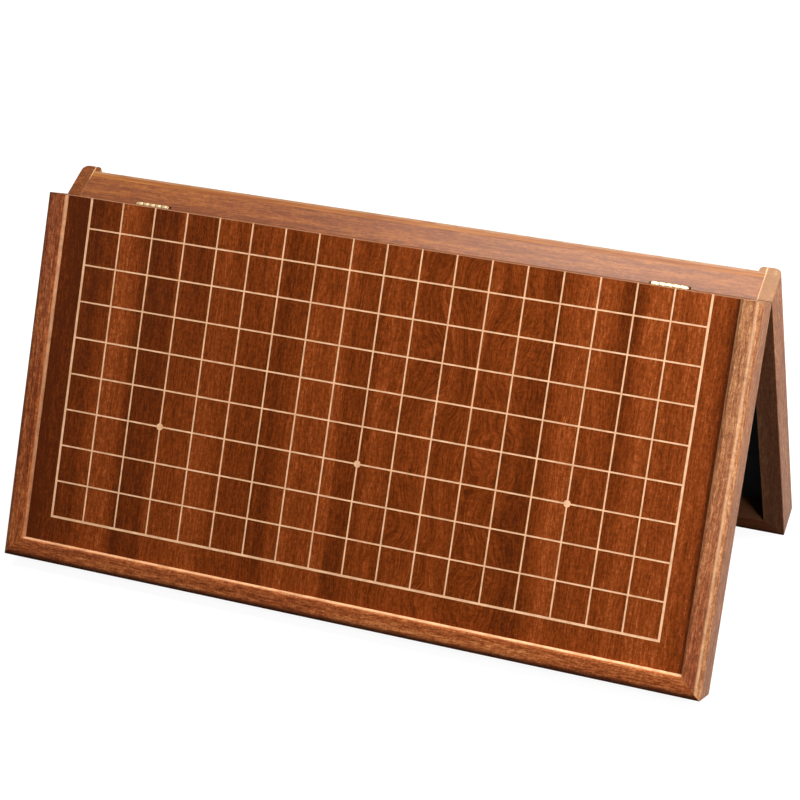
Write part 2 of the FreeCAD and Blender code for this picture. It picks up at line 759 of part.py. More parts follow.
os.makedirs("parts", exist_ok=True)
for body in NODES:
    if body.Shape.isNull() or not body.Shape.isValid():
        raise RuntimeError(f"{body.Label} has no valid shape")
    body.Shape.exportStep(os.path.join("parts", f"{body.Label}.step"))
    box = body.Shape.BoundBox
    print(f"{body.Label:28s} {len(body.Shape.Solids)} solids {body.Shape.Volume:11.1f} mm3 "
          f"x {box.XMin:7.1f} {box.XMax:7.1f} y {box.YMin:7.1f} {box.YMax:7.1f} "
          f"z {box.ZMin:6.2f} {box.ZMax:6.1f}")
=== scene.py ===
import json
import logging
import math
from dataclasses import dataclass, field, replace
from enum import Enum
from typing import Iterable, NamedTuple, Optional, Sequence, Union

import bmesh
import bpy
from bpy.types import ID, Material, Node, NodeSocket, NodeTree, Object, World
from mathutils import Euler, Matrix, Vector


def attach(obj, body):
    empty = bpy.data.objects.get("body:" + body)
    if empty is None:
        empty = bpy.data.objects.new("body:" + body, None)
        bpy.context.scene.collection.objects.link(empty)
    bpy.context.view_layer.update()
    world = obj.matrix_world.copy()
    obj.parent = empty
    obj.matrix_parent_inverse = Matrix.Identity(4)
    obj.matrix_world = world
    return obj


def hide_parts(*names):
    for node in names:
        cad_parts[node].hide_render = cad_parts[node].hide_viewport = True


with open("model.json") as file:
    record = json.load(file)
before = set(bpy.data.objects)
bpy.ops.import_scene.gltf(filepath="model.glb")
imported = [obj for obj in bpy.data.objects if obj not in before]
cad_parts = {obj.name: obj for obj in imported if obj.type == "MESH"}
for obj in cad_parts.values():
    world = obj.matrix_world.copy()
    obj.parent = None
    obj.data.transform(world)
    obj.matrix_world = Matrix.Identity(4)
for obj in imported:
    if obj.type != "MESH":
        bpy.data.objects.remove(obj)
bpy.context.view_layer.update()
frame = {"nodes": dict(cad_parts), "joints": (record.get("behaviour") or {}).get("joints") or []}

LOG = logging.getLogger("go_board")
MM = 0.001
TINY = 1e-6
OVERCUT = 1.0  # how far a cutter runs past the face that it opens, in millimetres

Span = tuple[float, float]
Triple = tuple[float, float, float]
Colour = tuple[float, float, float]
Stops = tuple[tuple[float, Colour], ...]
Sockets = bpy.types.bpy_prop_collection
Feed = Union[float, Triple, Vector, NodeSocket]


# ---------------------------------------------------------------------------------------------
# Named options
# ---------------------------------------------------------------------------------------------
class Side(Enum):
    """The two leaves of the board."""

    FRONT = "front"
    REAR = "rear"


class Run(Enum):
    """The way a section is swept in a leaf's own space."""

    ALONG = "along"  # corners are (depth, height), swept along the board
    DEPTH = "depth"  # corners are (along, height), swept away from the hinge
    UP = "up"        # corners are (along, depth), swept upwards


class Grain(Enum):
    """The way the fibres of a piece run."""

    ALONG = "along"
    DEPTH = "depth"


class Corner(NamedTuple):
    """One corner of a section, in millimetres, with the radius that rounds it."""

    across: float
    up: float
    radius: float = 0.0


# ---------------------------------------------------------------------------------------------
# Sizes of a leaf, and where the leaves stand
# ---------------------------------------------------------------------------------------------
@dataclass(frozen=True)
class LeafSizes:
    """The sizes that the pieces of a leaf share, in millimetres."""

    half_length: float = 240.0
    depth: float = 243.0
    rail: float = 14.0
    housing: float = 4.5
    lip_top: float = 27.0
    play_top: float = 23.0
    panel_under: float = 18.0
    hinge_rail: float = 16.0
    half_divider: float = 4.0
    floor: float = 3.0
    felt: float = 1.0
    slot_margin: float = 24.0
    axis_gap: float = 0.15
    lean_deg: float = 24.2

    @property
    def inner_half(self) -> float:
        """Give the distance from the leaf's middle to a side rail's inner face."""
        return self.half_length - self.rail

    @property
    def inner_depth(self) -> float:
        """Give the distance from the hinge edge to the outer rail's inner face."""
        return self.depth - self.rail

    @property
    def panel_half(self) -> float:
        """Give half the play panel's length, with what its rails house."""
        return self.inner_half + self.housing

    @property
    def panel_depth(self) -> float:
        """Give the play panel's depth, with what the outer rail houses."""
        return self.inner_depth + self.housing

    @property
    def slot_end(self) -> float:
        """Give the distance from the hinge edge to the far end of the drawer's slot."""
        return self.depth - self.slot_margin


LEAF = LeafSizes()


def at_end(end: int, inner: float, outer: float) -> Span:
    """Order two distances from the leaf's middle as they lie at one end.

    Args:
        end: -1 or 1, the end of the leaf.
        inner: the distance nearer the middle.
        outer: the distance farther from it.

    Returns:
        The lower and the higher place along the leaf.
    """
    return (inner, outer) if end > 0 else (-outer, -inner)


@dataclass(frozen=True)
class LeafSpace:
    """The space of one leaf: x along the board, depth towards -y, its play side up."""

    side: Side

    @property
    def name(self) -> str:
        """Give the leaf's name."""
        return self.side.value

    @property
    def body(self) -> str:
        """Give the name of the leaf's moving body."""
        return f"{self.name}_leaf"

    @property
    def drawer_body(self) -> str:
        """Give the name of the moving body of the leaf's drawer."""
        return f"{self.name}_drawer"

    @property
    def drawer_end(self) -> int:
        """Give the sign of the end, in the leaf's own space, that holds the drawer."""
        return -1 if self.side is Side.FRONT else 1

    def end_name(self, end: int) -> str:
        """Name an end of the leaf as it lies in the whole board.

        Args:
            end: -1 or 1, the end in the leaf's own space.

        Returns:
            "left" at the board's -X end, otherwise "right".
        """
        return "left" if end == self.drawer_end else "right"

    @property
    def matrix(self) -> Matrix:
        """Give the matrix from the leaf's own space to the board's."""
        lean = math.radians(LEAF.lean_deg)
        hinge = next(j for j in frame["joints"] if j["name"] == "leaf_fold")["pos_m"]
        reach = LEAF.axis_gap * MM * (math.sin(lean) + math.cos(lean))
        lift = LEAF.axis_gap * MM * (math.sin(lean) - math.cos(lean))
        turn = Matrix.Rotation(math.pi / 2 - lean, 4, "X")
        if self.side is Side.REAR:
            turn = Matrix.Rotation(math.pi, 4, "Z") @ turn
            reach = -reach
        return Matrix.Translation((0.0, -reach, hinge[2] + lift)) @ turn


# ---------------------------------------------------------------------------------------------
# Shaping
# ---------------------------------------------------------------------------------------------
def add_object(name: str, data: ID) -> Object:
    """Put a new object in the scene.

    Args:
        name: its name.
        data: its mesh, lamp or camera.

    Returns:
        The object.
    """
    item = bpy.data.objects.new(name, data)
    bpy.context.scene.collection.objects.link(item)
    return item


class Wood:
    """A mesh that is shaped in a leaf's own space, in millimetres, and then put in place."""

    ROUND_SEGMENTS = 9
    FLAT_WITHIN_DEG = 0.5

    def __init__(self) -> None:
        """Start with nothing."""
        self.bm = bmesh.new()

    @staticmethod
    def spot(run: Run, across: float, up: float, station: float) -> Vector:
        """Find the place of a section's corner.

        Args:
            run: the way the section is swept.
            across: the corner's first measure.
            up: the corner's second measure.
            station: where along the sweep the section stands.

        Returns:
            The place in the leaf's own space, in metres.
        """
        places = {
            Run.ALONG: (station, -across, up),
            Run.DEPTH: (across, -station, up),
            Run.UP: (across, -up, station),
        }
        return Vector(places[run]) * MM

    def sweep(self, run: Run, section: Sequence[Corner], start: float, stop: float) -> "Wood":
        """Sweep a section and round its marked corners.

        Args:
            run: the way the section is swept.
            section: its corners in order.
            start: where the sweep starts, in millimetres.
            stop: where it stops.

        Returns:
            This piece.
        """
        verts = [self.bm.verts.new(self.spot(run, c.across, c.up, start)) for c in section]
        face = self.bm.faces.new(verts)
        swept = bmesh.ops.extrude_face_region(self.bm, geom=[face])["geom"]
        moved = [item for item in swept if isinstance(item, bmesh.types.BMVert)]
        step = self.spot(run, 0.0, 0.0, stop) - self.spot(run, 0.0, 0.0, start)
        bmesh.ops.translate(self.bm, verts=moved, vec=step)
        bmesh.ops.recalc_face_normals(self.bm, faces=self.bm.faces)
        for corner in section:
            if corner.radius:
                self.round_corner(run, corner)
        return self

    def round_corner(self, run: Run, corner: Corner) -> None:
        """Round the long edges that stand on one corner of a swept section.

        Args:
            run: the way the section was swept.
            corner: the corner with its radius.
        """
        axis = {Run.ALONG: 0, Run.DEPTH: 1, Run.UP: 2}[run]
        target = self.spot(run, corner.across, corner.up, 0.0)

        def stands(vert: bmesh.types.BMVert) -> bool:
            """Tell whether a vertex lies on the corner's line."""
            off = vert.co - target
            off[axis] = 0.0
            return off.length < TINY

        edges = [e for e in self.bm.edges if all(stands(v) for v in e.verts)]
        bmesh.ops.bevel(self.bm, geom=edges, offset=corner.radius * MM, offset_type="OFFSET",
                        segments=self.ROUND_SEGMENTS, profile=0.5, affect="EDGES",
                        material=-1, clamp_overlap=False)

    def trim(self, place: Vector, outward: Vector) -> "Wood":
        """Cut off what lies beyond a plane and close the cut.

        Args:
            place: a point of the plane, in millimetres.
            outward: the plane's normal, towards what goes.

        Returns:
            This piece.
        """
        everything = [*self.bm.verts, *self.bm.edges, *self.bm.faces]
        cut = bmesh.ops.bisect_plane(self.bm, geom=everything, dist=TINY, plane_co=place * MM,
                                     plane_no=outward, clear_outer=True)["geom_cut"]
        rim = [item for item in cut if isinstance(item, bmesh.types.BMEdge)]
        bmesh.ops.holes_fill(self.bm, edges=rim, sides=0)
        bmesh.ops.recalc_face_normals(self.bm, faces=self.bm.faces)
        return self

    def carve(self, cutter: "Wood") -> "Wood":
        """Take another mesh out of this one.

        Args:
            cutter: the closed mesh to take out; it is used up.

        Returns:
            This piece.
        """
        held = [self.loose_object("carved"), cutter.loose_object("cutter")]
        change = held[0].modifiers.new("Carve", "BOOLEAN")
        change.object = held[1]
        change.operation = "DIFFERENCE"
        change.solver = "EXACT"
        shape = held[0].evaluated_get(bpy.context.evaluated_depsgraph_get()).to_mesh()
        self.bm = bmesh.new()
        self.bm.from_mesh(shape)
        for item in held:
            mesh = item.data
            bpy.data.objects.remove(item)
            bpy.data.meshes.remove(mesh)
        self.join_flats(self.FLAT_WITHIN_DEG)
        return self

    def join_flats(self, within_deg: float) -> None:
        """Join the faces that lie in one plane, once the doubled corners are merged.

        Args:
            within_deg: the greatest angle between two such faces.
        """
        bmesh.ops.remove_doubles(self.bm, verts=self.bm.verts, dist=TINY)
        bmesh.ops.dissolve_limit(self.bm, angle_limit=math.radians(within_deg),
                                 verts=self.bm.verts, edges=self.bm.edges)

    def loose_object(self, name: str) -> Object:
        """Turn the mesh into an object, which uses it up.

        Args:
            name: the object's name.

        Returns:
            The new object, in the scene.
        """
        mesh = bpy.data.meshes.new(name)
        self.bm.to_mesh(mesh)
        self.bm.free()
        return add_object(name, mesh)


def box_section(near: float, low: float, far: float, high: float) -> list[Corner]:
    """Give the four corners of a rectangle."""
    return [Corner(near, low), Corner(far, low), Corner(far, high), Corner(near, high)]


def block(run: Run, near: float, low: float, far: float, high: float,
          start: float, stop: float) -> Wood:
    """Make a rectangular bar.

    Args:
        run: the way it is swept.
        near: first measure where it begins.
        low: second measure where it begins.
        far: first measure where it ends.
        high: second measure where it ends.
        start: where the sweep starts.
        stop: where it stops.

    Returns:
        The bar.
    """
    return Wood().sweep(run, box_section(near, low, far, high), start, stop)


EASE_SEGMENTS = 2
EASE_ANGLE_DEG = 32
COPY_FLAT_WITHIN_DEG = 1


def settle(item: Object, ease: float) -> None:
    """Smooth a finished piece and ease its sharp edges.

    Args:
        item: the piece.
        ease: width of the eased edge, in millimetres.
    """
    for polygon in item.data.polygons:
        polygon.use_smooth = True
    soft = item.modifiers.new("Eased edges", "BEVEL")
    soft.width = ease * MM
    soft.segments = EASE_SEGMENTS
    soft.limit_method = "ANGLE"
    soft.angle_limit = math.radians(EASE_ANGLE_DEG)
    soft.use_clamp_overlap = True
    soft.harden_normals = True


def finish_piece(item: Object, body: str, material: Material,
                 nodes: Sequence[str], ease: float) -> Object:
    """Dress a piece, ease it, attach it to its body and hide the solids that it stands for.

    Args:
        item: the piece.
        body: the moving body that it rides on.
        material: its finish.
        nodes: the solids that it stands for.
        ease: width of its eased edges, in millimetres.

    Returns:
        The piece.
    """
    item.data.materials.clear()
    item.data.materials.append(material)
    settle(item, ease)
    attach(item, body)
    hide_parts(*nodes)
    LOG.info("%s: %d faces, for %s", item.name, len(item.data.polygons), ", ".join(nodes))
    return item


def put_up(shape: Wood, name: str, space: LeafSpace, body: str, material: Material,
           nodes: Sequence[str], ease: float = 0.25) -> Object:
    """Put a finished mesh in place in the board.

    Args:
        shape: the mesh, in the leaf's own space.
        name: the piece's name.
        space: the leaf that it was made in.
        body: the moving body that it rides on.
        material: its finish.
        nodes: the solids that it stands for.
        ease: width of its eased edges, in millimetres.

    Returns:
        The piece.
    """
    bmesh.ops.transform(shape.bm, matrix=space.matrix, verts=shape.bm.verts)
    bmesh.ops.recalc_face_normals(shape.bm, faces=shape.bm.faces)
    return finish_piece(shape.loose_object(name), body, material, nodes, ease)


def eased_copy(node: str, name: str, body: str, material: Material,
               ease: float) -> Object:
    """Make a softened copy of a small solid.

    Args:
        node: the solid.
        name: the piece's name.
        body: the moving body that it rides on.
        material: its finish.
        ease: width of its eased edges, in millimetres.

    Returns:
        The piece.
    """
    shape = Wood()
    shape.bm.from_mesh(frame["nodes"][node].data)
    shape.join_flats(COPY_FLAT_WITHIN_DEG)
    return finish_piece(shape.loose_object(name), body, material, [node], ease)


# ---------------------------------------------------------------------------------------------
# Shader wiring
# ---------------------------------------------------------------------------------------------
class Wiring:
    """Adds nodes to one node tree and joins them."""

    def __init__(self, tree: NodeTree) -> None:
        """Start on a tree.

        Args:
            tree: the material's or the group's node tree.
        """
        self.tree = tree

    def add(self, kind: str, feeds: Optional[dict[Union[int, str], Feed]] = None,
            **settings: object) -> Node:
        """Add a node.

        Args:
            kind: Blender's name for its type.
            feeds: a value or a socket for each named or numbered input.
            **settings: the node's own properties.

        Returns:
            The node.
        """
        node = self.tree.nodes.new(kind)
        for key, value in settings.items():
            setattr(node, key, value)
        self.fill(node, feeds or {})
        return node

    def fill(self, node: Node, feeds: dict[Union[int, str], Feed]) -> None:
        """Feed several inputs of a node.

        Args:
            node: the node.
            feeds: a value or a socket for each named or numbered input.
        """
        for key, value in feeds.items():
            self.feed(node.inputs[key], value)

    def feed(self, socket: NodeSocket, value: Feed) -> None:
        """Join a socket to an input, or set the input's value.

        Args:
            socket: the input.
            value: an output socket, or a plain value.
        """
        if isinstance(value, NodeSocket):
            self.tree.links.new(value, socket)
        elif socket.type == "RGBA" and len(value) == 3:
            socket.default_value = (*value, 1.0)
        else:
            socket.default_value = value

    def sum(self, kind: str, first: Feed, second: Feed = 0.0, third: Feed = 0.0,
            clamp: bool = False) -> NodeSocket:
        """Work out one number from others.

        Args:
            kind: the operation.
            first: its first number.
            second: its second.
            third: its third.
            clamp: keep the result between 0 and 1.

        Returns:
            The result.
        """
        feeds = {0: first, 1: second, 2: third}
        return self.add("ShaderNodeMath", feeds, operation=kind, use_clamp=clamp).outputs[0]

    def stretch(self, place: NodeSocket, scale: Triple,
                shift: Triple = (0.0, 0.0, 0.0)) -> NodeSocket:
        """Scale and shift a place.

        Args:
            place: the place.
            scale: how much along each axis.
            shift: added afterwards.

        Returns:
            The new place.
        """
        feeds = {0: place, 1: scale, 2: shift}
        return self.add("ShaderNodeVectorMath", feeds, operation="MULTIPLY_ADD").outputs[0]

    def shift(self, place: NodeSocket, step: Feed) -> NodeSocket:
        """Move a place by a step."""
        return self.add("ShaderNodeVectorMath", {0: place, 1: step}, operation="ADD").outputs[0]

    def noise(self, place: NodeSocket, detail: float = 2.0, rough: float = 0.5,
              twist: float = 0.0) -> NodeSocket:
        """Give a soft random value.

        Args:
            place: where, with one random cell to each unit.
            detail: how many finer layers.
            rough: how strong the finer layers are.
            twist: how much the pattern is folded.

        Returns:
            The value, near 0.5.
        """
        feeds = {"Vector": place, "Scale": 1.0, "Detail": detail, "Roughness": rough,
                 "Distortion": twist}
        return self.add("ShaderNodeTexNoise", feeds).outputs[0]

    def spread(self, value: NodeSocket, low: float, high: float, to_low: float = 0.0,
               to_high: float = 1.0, kind: str = "SMOOTHSTEP") -> NodeSocket:
        """Map a value from one range to another.

        Args:
            value: the value.
            low: start of its range.
            high: end of its range.
            to_low: start of the new range.
            to_high: end of the new range.
            kind: how it goes between them.

        Returns:
            The new value.
        """
        feeds = {"Value": value, "From Min": low, "From Max": high, "To Min": to_low,
                 "To Max": to_high}
        return self.add("ShaderNodeMapRange", feeds, interpolation_type=kind).outputs[0]

    def blend(self, share: Feed, first: Feed, second: Feed) -> NodeSocket:
        """Mix two colours.

        Args:
            share: how much of the second.
            first: a colour.
            second: another.

        Returns:
            The mixed colour.
        """
        feeds = {0: share, 6: first, 7: second}
        return self.add("ShaderNodeMix", feeds, data_type="RGBA").outputs[2]

    def ramp(self, value: NodeSocket, stops: Sequence[tuple[float, Colour]],
             kind: str = "LINEAR") -> NodeSocket:
        """Turn a value into a colour.

        Args:
            value: the value.
            stops: a place from 0 to 1 and the colour there, in order.
            kind: how it goes between stops.

        Returns:
            The colour.
        """
        node = self.add("ShaderNodeValToRGB", {0: value})
        node.color_ramp.interpolation = kind
        elements = node.color_ramp.elements
        for index, (place, colour) in enumerate(stops):
            element = elements[index] if index < 2 else elements.new(place)
            element.position = place
            element.color = (*colour, 1.0)
        return node.outputs[0]

    def relief(self, shader: Node, height: NodeSocket, strength: float,
               distance: float) -> None:
        """Let a height shape a finish's surface.

        Args:
            shader: the material's Principled shader.
            height: the height, from 0 to 1.
            strength: how much of it is used.
            distance: how high 1 stands, in millimetres.
        """
        bump = self.add("ShaderNodeBump", {"Height": height, "Strength": strength,
                                           "Distance": distance * MM})
        self.feed(shader.inputs["Normal"], bump.outputs[0])


@dataclass(frozen=True)
class NoiseLayer:
    """One layer of noise, with its cells to a metre along each axis."""

    cells: Triple
    detail: float = 2.0
    rough: float = 0.5
    twist: float = 0.0
    shift: Triple = (0.0, 0.0, 0.0)
    span: Optional[Span] = None
    values: Span = (0.0, 1.0)

    def wire(self, wiring: Wiring, place: NodeSocket) -> NodeSocket:
        """Add the layer's nodes.

        Args:
            wiring: the wiring of a material or a group.
            place: where the layer is read, in metres.

        Returns:
            The layer's value, spread from its span to its values where it has a span.
        """
        cell = wiring.stretch(place, self.cells, self.shift)
        value = wiring.noise(cell, self.detail, self.rough, self.twist)
        return wiring.spread(value, *self.span, *self.values) if self.span else value


class Effect:
    """A shader node group that several finishes share."""

    title = "Effect"
    inputs: dict[str, str] = {}
    outputs: dict[str, str] = {}

    @classmethod
    def tree(cls) -> NodeTree:
        """Build the group, or find it where it is built already."""
        found = bpy.data.node_groups.get(cls.title)
        if found:
            return found
        made = bpy.data.node_groups.new(cls.title, "ShaderNodeTree")
        for way, sockets in (("INPUT", cls.inputs), ("OUTPUT", cls.outputs)):
            for name, kind in sockets.items():
                made.interface.new_socket(name=name, in_out=way, socket_type=kind)
        wiring = Wiring(made)
        source = wiring.add("NodeGroupInput")
        drain = wiring.add("NodeGroupOutput")
        wiring.fill(drain, cls.wire(wiring, source.outputs))
        return made

    @classmethod
    def wire(cls, wiring: Wiring, given: Sockets) -> dict[str, NodeSocket]:
        """Join the group's nodes.

        Args:
            wiring: the group's wiring.
            given: the group's inputs.

        Returns:
            The value of each output.
        """
        raise NotImplementedError

    @classmethod
    def use(cls, wiring: Wiring, feeds: dict[str, Feed]) -> Sockets:
        """Place the group in a material.

        Args:
            wiring: the material's wiring.
            feeds: a value for each input.

        Returns:
            The placed group's outputs.
        """
        return wiring.add("ShaderNodeGroup", feeds, node_tree=cls.tree()).outputs


FLOAT = "NodeSocketFloat"
VECTOR = "NodeSocketVector"


class WoodFigure(Effect):
    """Ribbons, streaks, fibres, curl and pores of wood whose grain runs along y."""

    title = "Wood figure"
    inputs = {"Place": VECTOR, "Band": FLOAT, "Ribbon": FLOAT, "Streak": FLOAT, "Fibre": FLOAT,
              "Curl": FLOAT, "Swirl": FLOAT, "Pores": FLOAT}
    outputs = {"Tone": FLOAT, "Pore mask": FLOAT, "Height": FLOAT}

    DRIFT = NoiseLayer((4.0, 3.0, 4.0), 1.0)
    DRIFT_WIDTH = 12.0
    EDDY = NoiseLayer((21.0, 15.0, 21.0), shift=(3.1, 7.7, 1.3))
    EDDY_WIDTH = 50.0
    RIBBON = NoiseLayer((48.0, 2.2, 48.0), 3.0, 0.6, span=(0.3, 0.7))
    STREAK = NoiseLayer((190.0, 6.0, 190.0), 5.0, 0.78, span=(0.32, 0.68))
    FIBRE = NoiseLayer((1000.0, 105.0, 1000.0), 3.0, 0.7, 0.55, span=(0.32, 0.68))
    FIBRE_HEIGHT = 0.35
    CURL = NoiseLayer((520.0, 460.0, 520.0), 2.0, 0.7, 0.9, span=(0.32, 0.68))
    PORES = NoiseLayer((1700.0, 240.0, 1700.0), 2.0, 0.6, span=(0.56, 0.7))

    @staticmethod
    def swing(wiring: Wiring, value: NodeSocket, width: float) -> NodeSocket:
        """Turn a random value into a sideways step.

        Args:
            wiring: the group's wiring.
            value: the value, from 0 to 1.
            width: the widest step, in millimetres, shared between both ways.

        Returns:
            The step, in metres.
        """
        return wiring.sum("MULTIPLY_ADD", value, width * MM, -width * MM / 2)

    @classmethod
    def wire(cls, wiring: Wiring, given: Sockets) -> dict[str, NodeSocket]:
        """Join the nodes of the wood.

        Args:
            wiring: the group's wiring.
            given: the group's inputs.

        Returns:
            The tone from dark to light, the mask of the pores and the relief.
        """
        place = given["Place"]
        drift = cls.swing(wiring, cls.DRIFT.wire(wiring, place), cls.DRIFT_WIDTH)
        eddy = cls.swing(wiring, cls.EDDY.wire(wiring, place), cls.EDDY_WIDTH)
        shift = wiring.sum("MULTIPLY_ADD", eddy, given["Swirl"], drift)
        step = wiring.add("ShaderNodeCombineXYZ", {0: shift}).outputs[0]
        bent = wiring.shift(place, step)

        fibre = cls.FIBRE.wire(wiring, bent)
        tone = given["Band"]
        for layer, share in ((cls.RIBBON.wire(wiring, bent), given["Ribbon"]),
                             (cls.STREAK.wire(wiring, bent), given["Streak"]),
                             (fibre, given["Fibre"]),
                             (cls.CURL.wire(wiring, bent), given["Curl"])):
            centred = wiring.sum("SUBTRACT", layer, 0.5)
            tone = wiring.sum("MULTIPLY_ADD", centred, share, tone)
        mask = wiring.sum("MULTIPLY", cls.PORES.wire(wiring, bent), given["Pores"])
        height = wiring.sum("MULTIPLY", fibre, cls.FIBRE_HEIGHT)
        return {"Tone": wiring.sum("ADD", tone, 0.0, clamp=True), "Pore mask": mask,
                "Height": wiring.sum("SUBTRACT", height, mask)}


class Handling(Effect):
    """Soft cloudy marks where hands and cloths have gone over a finish."""

    title = "Handling"
    inputs = {"Place": VECTOR, "Base": FLOAT, "Amount": FLOAT}
    outputs = {"Roughness": FLOAT}

    CLOUD = NoiseLayer((22.0, 22.0, 22.0), 3.0, 0.55, 0.4, span=(0.3, 0.7), values=(-0.5, 0.5))

    @classmethod
    def wire(cls, wiring: Wiring, given: Sockets) -> dict[str, NodeSocket]:
        """Join the nodes of the marks.

        Args:
            wiring: the group's wiring.
            given: the group's inputs.

        Returns:
            The roughness.
        """
        cloud = cls.CLOUD.wire(wiring, given["Place"])
        rough = wiring.sum("MULTIPLY_ADD", cloud, given["Amount"], given["Base"])
        return {"Roughness": rough}


# ---------------------------------------------------------------------------------------------
# Finishes
# ---------------------------------------------------------------------------------------------
SEED_STEP = (0.37, 0.91, 0.53)  # how far one seed moves a pattern, in metres


def object_place(wiring: Wiring, space: LeafSpace, grain: Grain, seed: float) -> NodeSocket:
    """Give the place in a leaf's own space, turned so that the grain runs along y.

    Args:
        wiring: the material's wiring.
        space: the leaf.
        grain: the way the fibres run.
        seed: moves the pattern, so that no two boards are alike.

    Returns:
        The place.
    """
    turns = {
        Grain.DEPTH: Matrix.Identity(4),
        Grain.ALONG: Matrix.Rotation(-math.pi / 2, 4, "Z"),
    }
    turned = space.matrix @ turns[grain]
    source = wiring.add("ShaderNodeTexCoord").outputs["Object"]
    mapping = wiring.add("ShaderNodeMapping", {"Vector": source}, vector_type="TEXTURE")
    mapping.inputs["Location"].default_value = space.matrix.translation
    mapping.inputs["Rotation"].default_value = turned.to_euler("XYZ")
    if not seed:
        return mapping.outputs[0]
    return wiring.shift(mapping.outputs[0], tuple(step * seed for step in SEED_STEP))


def fresh_wiring(owner: Union[Material, World]) -> Wiring:
    """Clear the nodes of a material or a world.

    Args:
        owner: the material or the world.

    Returns:
        Its wiring.
    """
    owner.use_nodes = True
    owner.node_tree.nodes.clear()
    return Wiring(owner.node_tree)


def new_material(name: str) -> tuple[Material, Wiring, Node]:
    """Start a material.

    Args:
        name: its name.

    Returns:
        The material, its wiring and its Principled shader.
    """
    material = bpy.data.materials.new(name)
    wiring = fresh_wiring(material)
    shader = wiring.add("ShaderNodeBsdfPrincipled")
    wiring.add("ShaderNodeOutputMaterial", {"Surface": shader.outputs[0]})
    return material, wiring, shader


